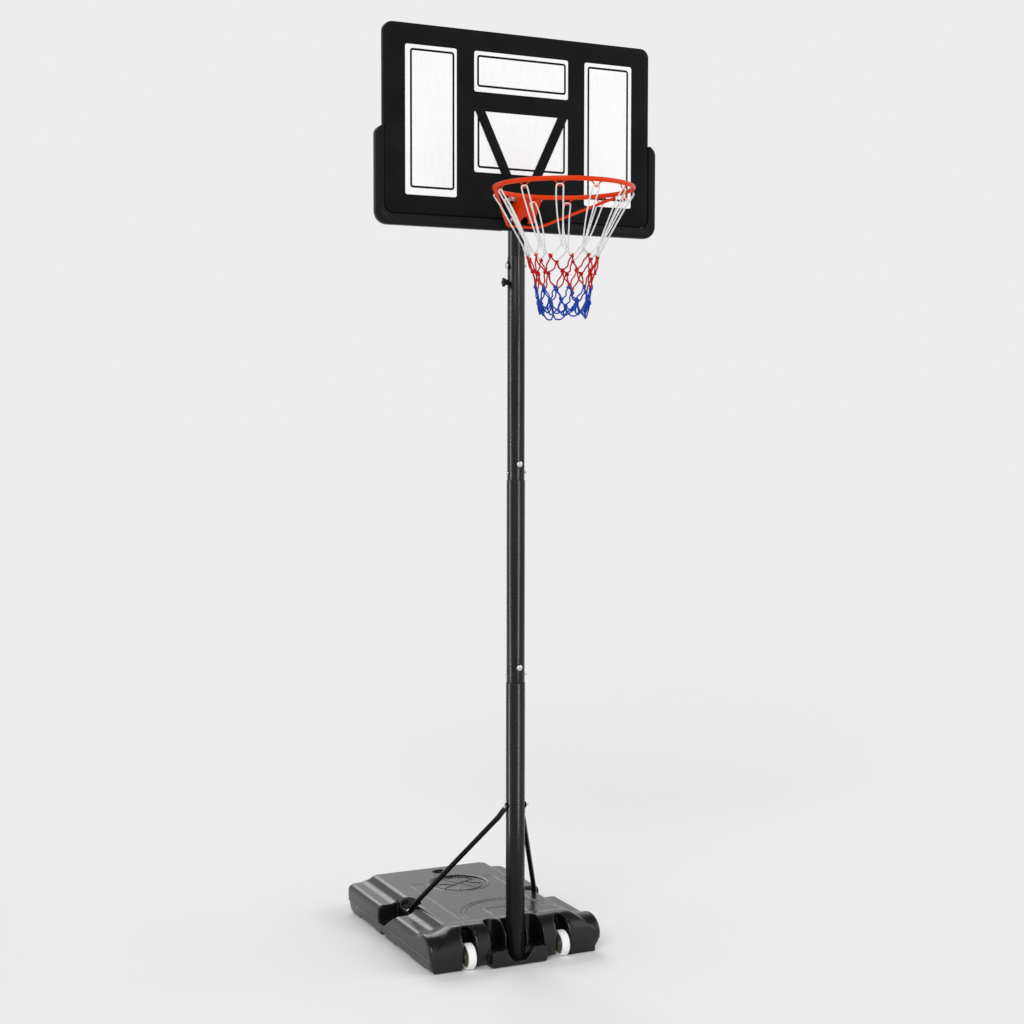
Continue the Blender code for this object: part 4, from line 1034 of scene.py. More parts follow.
for tag, joint_z, outer in (("lower", LOWER_JOINT_Z, MIDDLE_RADIUS), ("upper", UPPER_JOINT_Z, SLEEVE_RADIUS)):
    reach = outer + GAP
    hex_bolt(tag + "_side_bolt", (-reach, 0.0, joint_z + 0.027), "X", 2.0 * reach + 0.010)
    hex_nut(tag + "_side_nut", (reach, 0.0, joint_z + 0.027), "X")
    round_bolt(tag + "_front_bolt", (0.0, -reach, joint_z + 0.057), "Y", 2.0 * reach + 0.010, 0.0110)
    hex_nut(tag + "_front_nut", (0.0, reach, joint_z + 0.057), "Y")

saddle_x = -SLEEVE_RADIUS - GAP
saddle = softened([(BOLT_RADIUS + GAP, 0.0), (0.0125, 0.0), (0.0125, 0.0040), (0.0112, 0.0055),
                   (BOLT_RADIUS + GAP, 0.0055)], 0.0010)
mesh_piece("height_saddle_washer", *lathe(saddle, (saddle_x, 0.0, HEIGHT_BOLT_Z + 0.003), "-X", 48,
                                          ring=True),
           "black_plastic", "height_saddle")
head_x = saddle_x - 0.0055 - GAP
round_bolt("height_bolt", (head_x, 0.0, HEIGHT_BOLT_Z), "X", SLEEVE_RADIUS - head_x + 0.009, 0.0120)
hex_nut("height_nut", (SLEEVE_RADIUS + GAP, 0.0, HEIGHT_BOLT_Z), "X")
boss = softened([(0.00615, 0.0), (0.0100, 0.0), (0.0100, 0.0060), (0.0090, 0.0070), (0.00615, 0.0070)],
                0.0008)
mesh_piece("clamp_boss_weld", *lathe(boss, (saddle_x, 0.0, CLAMP_Z), "-X", 48, ring=True), "black_steel",
           "clamp_boss")
screw = [(0.0, 0.0), (0.0048, 0.0), (0.0056, 0.0008)] + threaded(0.0060, 0.0008, 0.0184, 0.0015)
screw += [(0.0052, 0.0190), (0.0, 0.0190)]
mesh_piece("clamp_screw_thread", *lathe(screw, (-INNER_RADIUS - GAP, 0.0, CLAMP_Z), "-X", 40), "zinc_steel",
           "clamp_screw", angle=30.0)
knob_start = -saddle_x + 0.0070 + GAP
knob = [(0.00615, 0.0), (0.0088, 0.0), (0.0096, 0.0010), (0.0100, 0.0030), (0.0136, 0.0046), (0.0145, 0.0062)]
knob += [(0.0145, 0.0118), (0.0134, 0.0136), (0.0104, 0.0144), (0.0086, 0.0150), (0.0, 0.0150)]
knob_faces = lathe(softened(knob, 0.0010), (-knob_start, 0.0, CLAMP_Z), "-X", 100,
                   shape=lambda t: 1.0 + 0.165 * math.cos(5.0 * t))
mesh_piece("clamp_knob_lobes", *knob_faces, "black_plastic", "clamp_knob")

# ---- struts ------------------------------------------------------------------------------------------
eye_x = BOTTOM_RADIUS + GAP + 0.0026
for side, sign in (("left", -1.0), ("right", 1.0)):
    eye = Vector((sign * eye_x, 0.0, BRACE_TOP_Z))
    high = Vector((sign * 0.0490, 0.040, BRACE_TOP_Z - 0.046))
    low = Vector((sign * 0.2540, 0.362, SHELF_Z + 0.041))
    foot = Vector((sign * BRACE_FOOT.x, BRACE_FOOT.y - 0.014, SHELF_Z + 0.0030))
    along = (low - high).normalized()
    flat_way = Vector((0.0, 0.655, -0.755))
    side_way = Vector((sign, 0.0, 0.0))
    thin_way = (side_way - along * side_way.dot(along)).normalized()
    broad_way = along.cross(thin_way).normalized()
    if broad_way.z < 0.0:
        broad_way = -broad_way
    eye_broad = Vector((0.0, 0.755, 0.655))
    level = Vector((0.0, 0.0, 1.0))
    stations = [
        (eye - flat_way * 0.0135, side_way, eye_broad, 0.0010, 0.0020, 3.0),
        (eye - flat_way * 0.0130, side_way, eye_broad, 0.0021, 0.0060, 3.0),
        (eye - flat_way * 0.0105, side_way, eye_broad, 0.0025, 0.0095, 4.0),
        (eye - flat_way * 0.0060, side_way, eye_broad, 0.0025, 0.0118, 4.0),
        (eye + flat_way * 0.0120, side_way, eye_broad, 0.0025, 0.0122, 4.0),
        (eye * 0.45 + high * 0.55, (side_way + thin_way).normalized(), (eye_broad + broad_way).normalized(),
         0.0042, 0.0118, 3.0),
        (high, thin_way, broad_way, 0.0075, 0.0110, 2.4),
        (high + along * 0.016, thin_way, broad_way, 0.0090, 0.0099, 2.1),
        (high + along * 0.030, thin_way, broad_way, 0.0095, 0.0095, 2.0),
        (high * 0.5 + low * 0.5, thin_way, broad_way, 0.0095, 0.0095, 2.0),
        (low - along * 0.030, thin_way, broad_way, 0.0095, 0.0095, 2.0),
        (low - along * 0.014, thin_way, broad_way, 0.0099, 0.0090, 2.1),
        (low, thin_way, broad_way, 0.0105, 0.0080, 2.2),
        (low * 0.5 + foot * 0.5 + Vector((0.0, -0.001, 0.002)), (side_way + thin_way).normalized(),
         (level + broad_way).normalized(), 0.0118, 0.0048, 3.0),
        (foot, side_way, level, 0.0125, 0.0026, 4.0),
        (foot + Vector((0.0, 0.0190, 0.0)), side_way, level, 0.0120, 0.0026, 4.0),
        (foot + Vector((0.0, 0.0250, 0.0)), side_way, level, 0.0100, 0.0026, 4.0),
        (foot + Vector((0.0, 0.0290, 0.0)), side_way, level, 0.0055, 0.0022, 3.0),
    ]
    rows = []
    for centre, wide, thick, half_wide, half_thick, power in stations:
        row = []
        for k in range(32):
            angle = 2.0 * math.pi * k / 32
            c, s = math.cos(angle), math.sin(angle)
            row.append(centre + wide * math.copysign(abs(c) ** (2.0 / power), c) * half_wide
                       + thick * math.copysign(abs(s) ** (2.0 / power), s) * half_thick)
        rows.append(row)
    brace = mesh_piece("strut_" + side, *skinned(rows), "black_steel", "brace_" + side, angle=60.0)
    carved(brace, [cylinder((0.0, 0.0, BRACE_TOP_Z), "X", BOLT_RADIUS + GAP, -0.1, 0.1),
                   cylinder((sign * BRACE_FOOT.x, BRACE_FOOT.y, 0.0), "Z", 0.0036, 0.08, 0.14)])
    top = SHELF_Z + 0.0059
    pan = [(0.0, 0.0022), (0.0016, 0.0022), (0.0022, 0.0040), (0.0040, 0.0042), (0.0066, 0.0030),
           (0.0080, 0.0012)]
    pan += [(0.0080, 0.0), (0.0030, 0.0)]
    pan += [(r, -z) for r, z in threaded(0.0030, 0.001, 0.024, 0.0016)] + [(0.0, -0.0275)]
    mesh_piece("strut_screw_" + side, *lathe(pan, (sign * BRACE_FOOT.x, BRACE_FOOT.y, top), "Z", 36),
               "zinc_steel",
               "brace_foot_screw_" + side, angle=30.0)
brace_seat = eye_x + 0.0026 + GAP
hex_bolt("brace_bolt", (-brace_seat, 0.0, BRACE_TOP_Z), "X", 2.0 * brace_seat + 0.012)
hex_nut("brace_nut", (brace_seat, 0.0, BRACE_TOP_Z), "X")

# ---- backboard ---------------------------------------------------------------------------------------
def plate_with_holes(outline, holes, y_front, y_back):
    """A flat panel across Y, filled between an outline and its holes."""
    shape = bmesh.new()
    for loop in [outline] + holes:
        corners = [shape.verts.new((x, y_front, z)) for x, z in loop]
        for k in range(len(corners)):
            shape.edges.new((corners[k], corners[(k + 1) % len(corners)]))
    bmesh.ops.triangle_fill(shape, edges=shape.edges[:], use_beauty=True)
    made = bmesh.ops.extrude_face_region(shape, geom=shape.faces[:])
    moved = [v for v in made["geom"] if isinstance(v, bmesh.types.BMVert)]
    bmesh.ops.translate(shape, verts=moved, vec=(0.0, y_back - y_front, 0.0))
    shape.verts.index_update()
    vertices = [v.co.copy() for v in shape.verts]
    faces = [tuple(v.index for v in face.verts) for face in shape.faces]
    shape.free()
    return vertices, faces


def strip(start, end, half_wide, y_low, y_high, ease=0.0012):
    """A straight raised bar in the board's plane with eased long edges."""
    start, end = Vector(start), Vector(end)
    along = (end - start).normalized()
    across = Vector((along.y, -along.x))
    rows = []
    for centre in (start, end):
        row = []
        for offset, y in ((-half_wide, y_high), (-half_wide, y_low + ease),
                          (-half_wide + ease * 0.4, y_low + ease * 0.3),
                          (-half_wide + ease, y_low), (half_wide - ease, y_low),
                          (half_wide - ease * 0.4, y_low + ease * 0.3), (half_wide, y_low + ease),
                          (half_wide, y_high)):
            point = centre + across * offset
            row.append(Vector((point.x, y, point.y)))
        rows.append(row)
    count = len(rows[0])
    faces = [tuple(range(count)), tuple(range(2 * count - 1, count - 1, -1))]
    for k in range(count):
        n = (k + 1) % count
        faces.append((k, n, count + n, count + k))
    return rows[0] + rows[1], faces


def block(low, high, ease=0.0008):
    """A moulded rib: a box with eased edges."""
    (x0, y0, z0), (x1, y1, z1) = low, high
    rows = []
    for y, inset in ((y0, 0.0), (y1 - ease, 0.0), (y1 - ease * 0.3, ease * 0.3), (y1, ease)):
        rows.append([Vector((x, y, z)) for x, z in rounded_loop(x0 + inset, x1 - inset, z0 + inset,
                                                                z1 - inset,
                                                                 max(ease * 1.2 - inset, 0.0002), 2)])
    return skinned(rows)


BORDER = 0.022
field_rect = (-BOARD_HALF + BORDER, BOARD_HALF - BORDER, BOARD_LOW_Z + BORDER, BOARD_TOP_Z - BORDER)
holes = []
for x_low, x_high, z_low, z_high in WINDOWS.values():
    holes.append(rounded_loop(x_low - 0.0030, x_high + 0.0030, z_low - 0.0030, z_high + 0.0030, 0.0105,
                              6)[::-1])
field = plate_with_holes(rounded_loop(*field_rect, 0.014, 8), holes, BOARD_FRONT_Y, BOARD_FRONT_Y + 0.0050)
backing = plate_with_holes(rounded_loop(-BOARD_HALF + 0.004, BOARD_HALF - 0.004, BOARD_LOW_Z + 0.004,
                                        BOARD_TOP_Z - 0.004, 0.028, 8), [], BOARD_FRONT_Y + 0.0048,
                                        SKIN_BACK_Y)
edge_line = [(BORDER, BOARD_FRONT_Y + 0.0048), (BORDER, BOARD_FRONT_Y),
             (BORDER - 0.0015, BOARD_FRONT_Y + 0.0001)]
edge_line += [(BORDER - 0.0030, BOARD_FRONT_Y + 0.0011), (BORDER - 0.0052, BOARD_FRONT_Y + 0.0012)]
edge_line += [(0.0080, BOARD_FRONT_Y + 0.0036), (0.0042, BOARD_FRONT_Y + 0.0046),
              (0.0018, BOARD_FRONT_Y + 0.0064)]
edge_line += [(0.0004, BOARD_FRONT_Y + 0.0092), (0.0, BOARD_FRONT_Y + 0.0120), (0.0, BOARD_BACK_Y - 0.0026)]
edge_line += [(0.0006, BOARD_BACK_Y - 0.0008), (0.0020, BOARD_BACK_Y), (0.0048, BOARD_BACK_Y)]
edge_line += [(0.0060, BOARD_BACK_Y - 0.0014), (0.0062, SKIN_BACK_Y + 0.0010), (0.0075, SKIN_BACK_Y - 0.0006)]
edge_line += [(0.0300, SKIN_BACK_Y - 0.0008), (0.0300, BOARD_FRONT_Y + 0.0048)]
outer_rect = (-BOARD_HALF, BOARD_HALF, BOARD_LOW_Z, BOARD_TOP_Z)
board_parts = [field, backing, moulding(outer_rect, 0.034, edge_line, 10)]
for x_low, x_high, z_low, z_high in WINDOWS.values():
    rect = (x_low - 0.0042, x_high + 0.0042, z_low - 0.0042, z_high + 0.0042)
    line = [(0.0, BOARD_FRONT_Y + 0.0040), (0.0, BOARD_FRONT_Y - 0.0002), (0.0012, BOARD_FRONT_Y - 0.0009)]
    line += [(0.0026, BOARD_FRONT_Y - 0.0009), (0.0036, BOARD_FRONT_Y - 0.0004),
             (0.0041, BOARD_FRONT_Y + 0.0012)]
    line += [(0.0041, BOARD_FRONT_Y + 0.0040)]
    board_parts.append(moulding(rect, 0.0115, line, 6))
for sign in (-1.0, 1.0):
    xs = sorted((sign * 0.0830, sign * 0.0890))
    board_parts.append(block((xs[0], SKIN_BACK_Y - 0.001, BOARD_LOW_Z + 0.004),
                             (xs[1], BOARD_BACK_Y - 0.004, BOARD_TOP_Z - 0.004)))
    for rib_z in (2.838, 3.125):
        xs = sorted((sign * 0.0890, sign * (BOARD_HALF - 0.005)))
        board_parts.append(block((xs[0], SKIN_BACK_Y - 0.001, rib_z - 0.003),
                                 (xs[1], BOARD_BACK_Y - 0.006, rib_z + 0.003)))
    top = (sign * 0.1670, 3.1035)
    foot = (sign * 0.0575, 2.8725)
    board_parts.append(strip(top, foot, 0.0178, BOARD_FRONT_Y - 0.0022, BOARD_FRONT_Y - 0.0003))
    board_parts.append(strip((sign * 0.1655, 3.1035), (sign * 0.1635, 3.0960), 0.0140, BOARD_FRONT_Y - 0.0021,
                             BOARD_FRONT_Y + 0.0020))
    board_parts.append(strip((sign * 0.0595, 2.8790), (sign * 0.0560, 2.8720), 0.0135, BOARD_FRONT_Y - 0.0021,
                             BOARD_FRONT_Y + 0.0020))
    for z in (2.765, 3.020, 3.345):
        rivet = [(0.0, -0.0010), (0.0012, -0.0009), (0.0020, -0.0005), (0.0024, 0.0004), (0.0, 0.0004)]
        board_parts.append(lathe(rivet, (sign * (BOARD_HALF - 0.036), BOARD_FRONT_Y, z), "Y", 16))
board = mesh_piece("board_moulding", *merged(*board_parts), "board_plastic", "board_frame", angle=38.0)

LINE_INSETS = {
    "window_left": (0.0180, 0.0090, 0.0240, 0.0130),
    "window_right": (0.0125, 0.0130, 0.0240, 0.0130),
    "window_top": (0.0108, 0.0088, 0.0170, 0.0128),
    "window_centre": (0.0125, 0.0115, 0.0150, 0.0150),
}
for name, (x_low, x_high, z_low, z_high) in WINDOWS.items():
    face_y = BOARD_FRONT_Y + 0.0003
    rows = [(0.0, face_y + 0.0016), (0.0, face_y + 0.0004), (0.0005, face_y)]
    corner_steps = 6
    vertices, faces = moulding((x_low, x_high, z_low, z_high), 0.0080, rows, corner_steps, closed=False)
    count = 4 * (corner_steps + 1)
    faces = faces + end_caps(len(vertices), count)
    mesh_piece(name + "_panel", vertices, faces, "window_white", name, angle=30.0)
    from_left, from_right, from_low, from_top = LINE_INSETS[name]
    rect = (x_low + from_left, x_high - from_right, z_low + from_low, z_high - from_top)
    wide = 0.0078
    line = [(0.0, face_y + 0.0001), (0.0003, face_y - 0.0002), (wide - 0.0003, face_y - 0.0002),
            (wide, face_y + 0.0001)]
    outline = moulding(rect, 0.0110, line, 6)
    if name == "window_centre":
        vertices, faces = moulding((rect[0], rect[1], rect[2], z_high + 0.060), 0.0110, line, 6)
        keep = []
        for face in faces:
            middle = sum((vertices[i] for i in face), Vector()) / len(face)
            if middle.z < z_high:
                keep.append(face)
        trimmed = [Vector((v.x, v.y, min(v.z, z_high - 0.001))) for v in vertices]
        outline = (trimmed, keep)
    mesh_piece(name + "_line", *outline, "board_plastic", body=body_of[name], finish=line_finish, angle=60.0)


def guard_profile(inset_in):
    """Section of the edge guard from the board's edge outward; inset is from the guard's own edge."""
    front = BOARD_FRONT_Y
    return [(inset_in, BOARD_BACK_Y - 0.004), (inset_in, front + 0.0050), (inset_in - 0.0010, front + 0.0028),
            (inset_in - 0.0030, front + 0.0016), (inset_in - 0.0052, front + 0.0010),
            (inset_in - 0.0068, front + 0.0022),
            (inset_in - 0.0082, front + 0.0022), (inset_in - 0.0098, front + 0.0006),
            (0.0085, front + 0.0002),
            (0.0055, front + 0.0010), (0.0022, front + 0.0034), (0.0006, front + 0.0062),
            (0.0, front + 0.0100),
            (0.0, BOARD_BACK_Y - 0.0060), (0.0010, BOARD_BACK_Y - 0.0030), (0.0034, BOARD_BACK_Y - 0.0012),
            (inset_in - 0.0030, BOARD_BACK_Y - 0.0012)]


def guard_piece():
    """The U-shaped guard: a path down one side, round both lower corners and up the other."""
    reach_side = GUARD_HALF - BOARD_HALF - GAP
    reach_low = BOARD_LOW_Z - GUARD_LOW_Z - GAP
    path = []
    steps = 14
    outer = 0.046
    inner = 0.030
    top_steps = ((0.0, 0.024), (0.004, 0.0165), (0.010, 0.0090), (0.018, 0.0035), (0.027, 0.0))
    for sign in (-1.0, 1.0):
        side_path = []
        for drop, cut in top_steps:
            side_path.append(((sign * (GUARD_HALF - cut), GUARD_TOP_Z - drop),
                              (sign * (BOARD_HALF + GAP), GUARD_TOP_Z - drop)))
        for share in (0.25, 0.5, 0.75, 1.0):
            z = (GUARD_TOP_Z - 0.027) + (GUARD_LOW_Z + outer - GUARD_TOP_Z + 0.027) * share
            z_in = (GUARD_TOP_Z - 0.027) + (BOARD_LOW_Z + inner - GUARD_TOP_Z + 0.027) * share
            side_path.append(((sign * GUARD_HALF, z), (sign * (BOARD_HALF + GAP), z_in)))
        for k in range(1, steps + 1):
            angle = math.pi / 2.0 * k / steps
            out = (sign * (GUARD_HALF - outer + outer * math.cos(angle)),
                   GUARD_LOW_Z + outer - outer * math.sin(angle))
            ins = (sign * (BOARD_HALF + GAP - inner + inner * math.cos(angle)),
                   BOARD_LOW_Z - GAP + inner - inner * math.sin(angle))
            side_path.append((out, ins))
        for share in (0.5, 0.93):
            x = (GUARD_HALF - outer) * (1.0 - share)
            side_path.append(((sign * x, GUARD_LOW_Z), (sign * x, BOARD_LOW_Z - GAP)))
        path += side_path if sign < 0.0 else side_path[::-1]
    rows = []
    for out, ins in path:
        out, ins = Vector(out), Vector(ins)
        reach = (ins - out).length
        toward = (ins - out) / reach
        row = []
        for inset, y in guard_profile(0.0307):
            share = inset / 0.0307
            point = out + toward * reach * share
            row.append(Vector((point.x, y, point.y)))
        rows.append(row)
    guard = mesh_piece("edge_guard_moulding", *skinned(rows), "black_plastic", "board_edge_guard", angle=40.0)
    notch = extruded([(-0.072, 2.60), (0.072, 2.60), (0.072, 2.735), (-0.072, 2.735)], "Y", SKIN_BACK_Y, 0.05)
    bores = [cylinder((sign * LOWER_BOLT.x, 0.0, LOWER_BOLT.z), "Y", BOLT_RADIUS + GAP, -0.1,
                      0.1) for sign in (-1, 1)]
    return carved(guard, [notch] + bores)


guard_piece()


def strap(name, node, z_low, z_high, flange_half, holes):
    """A bent strap round the back of the inner tube with a drilled flange on each side."""
    front = SKIN_BACK_Y + GAP
    inner = INNER_RADIUS + GAP
    outer = inner + 0.003
    outline = [(-flange_half, front), (-inner, front)]
    outline += [(inner * math.cos(math.pi - math.pi * k / 32),
                 inner * math.sin(math.pi - math.pi * k / 32)) for k in range(33)]
    outline += [(inner, front), (flange_half, front), (flange_half, front + 0.003),
                (outer + 0.001, front + 0.003)]
    outline += [(outer, front + 0.004)]
    outline += [(outer * math.cos(math.pi * k / 32), outer * math.sin(math.pi * k / 32)) for k in range(33)]
    outline += [(-outer, front + 0.004), (-outer - 0.001, front + 0.003), (-flange_half, front + 0.003)]
    piece = mesh_piece(name, *extruded(outline, "Z", z_low, z_high), "black_steel", node)
    carved(piece, [cylinder((x, 0.0, z), "Y", radius, -0.06, 0.0) for x, z, radius in holes])
    return eased(piece, 0.0007, 2, 50.0, 35.0)


strap("strap_upper", "board_bracket_upper", 3.106, 3.150, 0.074,
      [(-0.056, 3.128, 0.0029), (0.056, 3.128, 0.0029)])
lower_holes = [(sign * x, z, BOLT_RADIUS + GAP) for sign in (-1.0, 1.0) for x,
               z in ((SPRING_X, SPRING_Z), (LOWER_BOLT.x, LOWER_BOLT.z))]
strap("strap_lower", "board_bracket_lower", 2.704, 2.808, 0.070, lower_holes)
screw_seat = SKIN_BACK_Y + GAP + 0.003 + GAP
for side, sign in (("left", -1.0), ("right", 1.0)):
    pan = [(0.0, -0.0105), (0.0010, -0.0100)] + threaded(0.0025, -0.0090, -0.0004, 0.0013)
    pan += [(0.0025, 0.0), (0.0058, 0.0), (0.0061, 0.0006), (0.0058, 0.0016), (0.0044, 0.0030),
            (0.0022, 0.0038)]
    pan += [(0.0016, 0.0022), (0.0, 0.0022)]
    mesh_piece("board_screw_%s_pan" % side, *lathe(pan, (sign * 0.056, screw_seat, 3.128), "Y", 32),
               "zinc_steel",
               "board_screw_" + side, angle=32.0)

# ---- rim ------------------------------------------------------------------------------------------------
ring_loop = [(RING_RADIUS + RING_TUBE * math.cos(2 * math.pi * k / 20),
              RING_TUBE * math.sin(2 * math.pi * k / 20))
             for k in range(20)]
ring_parts = [lathe(ring_loop, (0.0, RIM_Y, RIM_Z), "Z", 144, ring=True)]
hook_seats = []
for number in range(HOOK_COUNT):
    heading = 2.0 * math.pi * number / HOOK_COUNT
    spoke = Vector((math.cos(heading), math.sin(heading), 0.0))
    tangent = Vector((-math.sin(heading), math.cos(heading), 0.0))
    seat = Vector((0.0, RIM_Y, RIM_Z)) + spoke * RING_RADIUS
    wire = []
    for offset, drop in ((-0.0215, 0.0072), (-0.0175, 0.0076), (-0.0145, 0.0092), (-0.0110, 0.0135),
                         (-0.0070, 0.0195),
                         (-0.0045, 0.0232), (-0.0022, 0.0252), (0.0, 0.0258), (0.0022, 0.0252),
                         (0.0045, 0.0232),
                         (0.0070, 0.0195), (0.0110, 0.0135), (0.0145, 0.0092), (0.0175, 0.0076),
                         (0.0215, 0.0072)):
        turn = offset / RING_RADIUS
        out = spoke * math.cos(turn) + tangent * math.sin(turn)
        wire.append(Vector((0.0, RIM_Y, RIM_Z)) + out * RING_RADIUS - Vector((0.0, 0.0, drop)))
    ring_parts.append(swept(wire, 0.0023, 10)[:2])
    hook_seats.append((seat - Vector((0.0, 0.0, 0.0258)), spoke, tangent))
mesh_piece("rim_hoop", *merged(*ring_parts), "rim_orange", "rim_ring", angle=60.0)

ring_back = RIM_Y + RING_RADIUS + RING_TUBE + GAP
plate = mesh_piece("rim_bracket_plate", *extruded(rounded_loop(-0.062, 0.062, 2.700, 2.812, 0.008, 6), "Y",
                                                  PLATE_FRONT_Y, PLATE_BACK_Y), "black_steel",
                                                  body=body_of["rim_bracket"])
cuts = []
for sign in (-1.0, 1.0):
    for x, z, radius in ((SPRING_X, SPRING_Z, 0.0068), (LOWER_BOLT.x, LOWER_BOLT.z, 0.0055)):
        cuts.append(cylinder((sign * x, PLATE_FRONT_Y, z), "Y", radius, -0.03, 0.03, 32))
carved(plate, cuts)
eased(plate, 0.0008, 2, 35.0, 40.0)
channel = [(PLATE_FRONT_Y - 0.0002, 2.800), (ring_back + 0.004, 2.800), (ring_back, 2.797),
           (ring_back, 2.7835),
           (-0.1150, 2.7640), (-0.0760, 2.7200), (-0.0680, 2.7090), (-0.0640, 2.7060),
           (PLATE_FRONT_Y - 0.0002, 2.7060)]
hollow = [(PLATE_FRONT_Y + 0.0100, 2.7940), (-0.1100, 2.7940), (-0.1040, 2.7620), (-0.0680, 2.7200),
          (-0.0560, 2.6900), (-0.0560, 2.6500), (PLATE_FRONT_Y + 0.0100, 2.6500)]
arm = mesh_piece("rim_bracket_channel", *extruded(channel, "X", -0.0385, 0.0385), "rim_orange", "rim_bracket")
face = [(-0.0120, 2.690), (0.0120, 2.690), (0.0160, 2.7140), (0.0070, 2.7270), (-0.0070, 2.7270),
        (-0.0160, 2.7140)]
cuts = [extruded(hollow, "X", -0.0345, 0.0345), extruded(face, "Y", -0.14, -0.055)]
for sign in (-1.0, 1.0):
    cuts.append(cylinder((sign * LOWER_BOLT.x, PLATE_FRONT_Y, LOWER_BOLT.z), "Y", 0.0080, -0.03, 0.03, 32))
carved(arm, cuts)
eased(arm, 0.0016, 3, 35.0, 40.0)
ribs = []
for x in (-0.0240, -0.0080, 0.0080, 0.0240):
    ribs.append(swept([(x, -0.1120, 2.7615), (x, -0.0960, 2.7440), (x, -0.0800, 2.7262)],
                      [0.0012, 0.0022, 0.0012], 8)[:2])
mesh_piece("rim_bracket_beads", *merged(*ribs), "rim_orange", body=body_of["rim_bracket"], angle=60.0)

brace_angle = math.radians(15.0)
brace_end = Vector((RING_RADIUS * math.cos(brace_angle), RIM_Y + RING_RADIUS * math.sin(brace_angle),
                    RIM_Z - 0.0128))
bend = Vector((0.0600, -0.0570, 2.6940))
toward = (brace_end - bend).normalized()
half_path = [brace_end + toward * 0.006, brace_end, brace_end * 0.75 + bend * 0.25,
             brace_end * 0.5 + bend * 0.5,
             brace_end * 0.25 + bend * 0.75]
start_bend = bend + toward * 0.022
end_bend = bend - Vector((0.022, 0.0, 0.0))
for k in range(9):
    t = k / 8.0
    half_path.append(start_bend * (1 - t) ** 2 + bend * 2 * t * (1 - t) + end_bend * t ** 2)
whole = [Vector((-p.x, p.y, p.z)) for p in half_path] + [Vector(p) for p in half_path[::-1]]
radii = [0.0036, 0.0050] + [0.0050] * (len(whole) - 4) + [0.0050, 0.0036]
mesh_piece("rim_brace_rod", *swept(whole, radii, 18)[:2], "rim_orange", "rim_brace", angle=60.0)

spring_front = PLATE_FRONT_Y - GAP - SPRING_LENGTH
bolt_reach = screw_seat - spring_front
for side, sign in (("left", -1.0), ("right", 1.0)):
    x = sign * SPRING_X
    centre = (x, spring_front, SPRING_Z)
    washer = lathe(softened([(BOLT_RADIUS, -0.0020), (0.0122, -0.0020), (0.0122, 0.0), (BOLT_RADIUS, 0.0)],
                            0.0004, 2),
                   centre, "Y", 40, ring=True)
    flats = lathe([(0.0, -0.0084), (0.0054, -0.0085), (0.0066, -0.0076), (0.0066, -0.0022), (0.0, -0.0022)],
                  centre,
                  "Y", 48, shape=lambda t: hexagon(t) / 0.99)
    shank = lathe([(0.0, -0.0021), (BOLT_RADIUS, -0.0021), (BOLT_RADIUS, bolt_reach - 0.004)]
                  + threaded(BOLT_RADIUS, bolt_reach - 0.004, bolt_reach + 0.0097)
                  + [(BOLT_RADIUS - 0.0010, bolt_reach + 0.0105), (0.0, bolt_reach + 0.0105)], centre, "Y",
                  28)
    mesh_piece("spring_bolt_%s_head" % side, *merged(washer, flats, shank), "zinc_steel",
               "spring_bolt_" + side, angle=28.0)
    hex_nut("spring_nut_" + side, (x, screw_seat, SPRING_Z), "Y", across=0.0068)
    coils = 6.0
    wire = 0.0013
    first = spring_front + wire + GAP
    lead = SPRING_LENGTH - 2.0 * wire - 2.0 * GAP
    coil = []
    turns_total = coils + 1.6
    for k in range(int(turns_total * 28) + 1):
        turn = k / 28.0
        if turn < 0.8:
            share = turn / 0.8 * 0.03
        elif turn > turns_total - 0.8:
            share = 0.97 + (turn - turns_total + 0.8) / 0.8 * 0.03
        else:
            share = 0.03 + 0.94 * (turn - 0.8) / (turns_total - 1.6)
        angle = 2.0 * math.pi * turn
        coil.append((x + 0.0078 * math.cos(angle), first + lead * share, SPRING_Z + 0.0078 * math.sin(angle)))
    spring = mesh_piece("rim_spring_%s_coil" % side, *swept(coil, wire, 10)[:2], "zinc_steel",
                        "rim_spring_" + side,
                        angle=60.0)
    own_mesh(spring)
    lower_seat = PLATE_FRONT_Y - 0.0046
    place = (sign * LOWER_BOLT.x, lower_seat, LOWER_BOLT.z)
    hex_bolt("rim_bolt_" + side, place, "Y", screw_seat - lower_seat + 0.0100)
    hex_nut("rim_nut_" + side, (sign * LOWER_BOLT.x, screw_seat, LOWER_BOLT.z), "Y", across=0.0068)

# ---- net ------------------------------------------------------------------------------------------------
chance = random.Random(5)
CORD = 0.0026
CORD_SIDES = 8


def strand(points, steps=14, loose=0.0, wobble=0.0):
    """A cord through a few points: a smooth curve with a little give, as (vertices, faces, places)."""
    points = [Vector(p) for p in points]
    ends = [points[0] * 2.0 - points[1]] + points + [points[-1] * 2.0 - points[-2]]
    line = []
    for k in range(len(points) - 1):
        p0, p1, p2, p3 = ends[k:k + 4]
        for s in range(steps):
            t = s / steps
            line.append(0.5 * (2 * p1 + (p2 - p0) * t + (2 * p0 - 5 * p1 + 4 * p2 - p3) * t * t
                               + (3 * p1 - p0 - 3 * p2 + p3) * t ** 3))
    line.append(points[-1])
    phase = chance.uniform(0.0, 6.28)
    bent = []
    for i, point in enumerate(line):
        share = i / (len(line) - 1)
        hump = math.sin(math.pi * share)
        out = Vector((point.x, point.y - RIM_Y, 0.0)).normalized()
        around = Vector((-out.y, out.x, 0.0))
        bent.append(point + out * (loose * hump) + around * (wobble * math.sin(phase + share * 7.0) * hump))
    return swept(bent, CORD, CORD_SIDES)


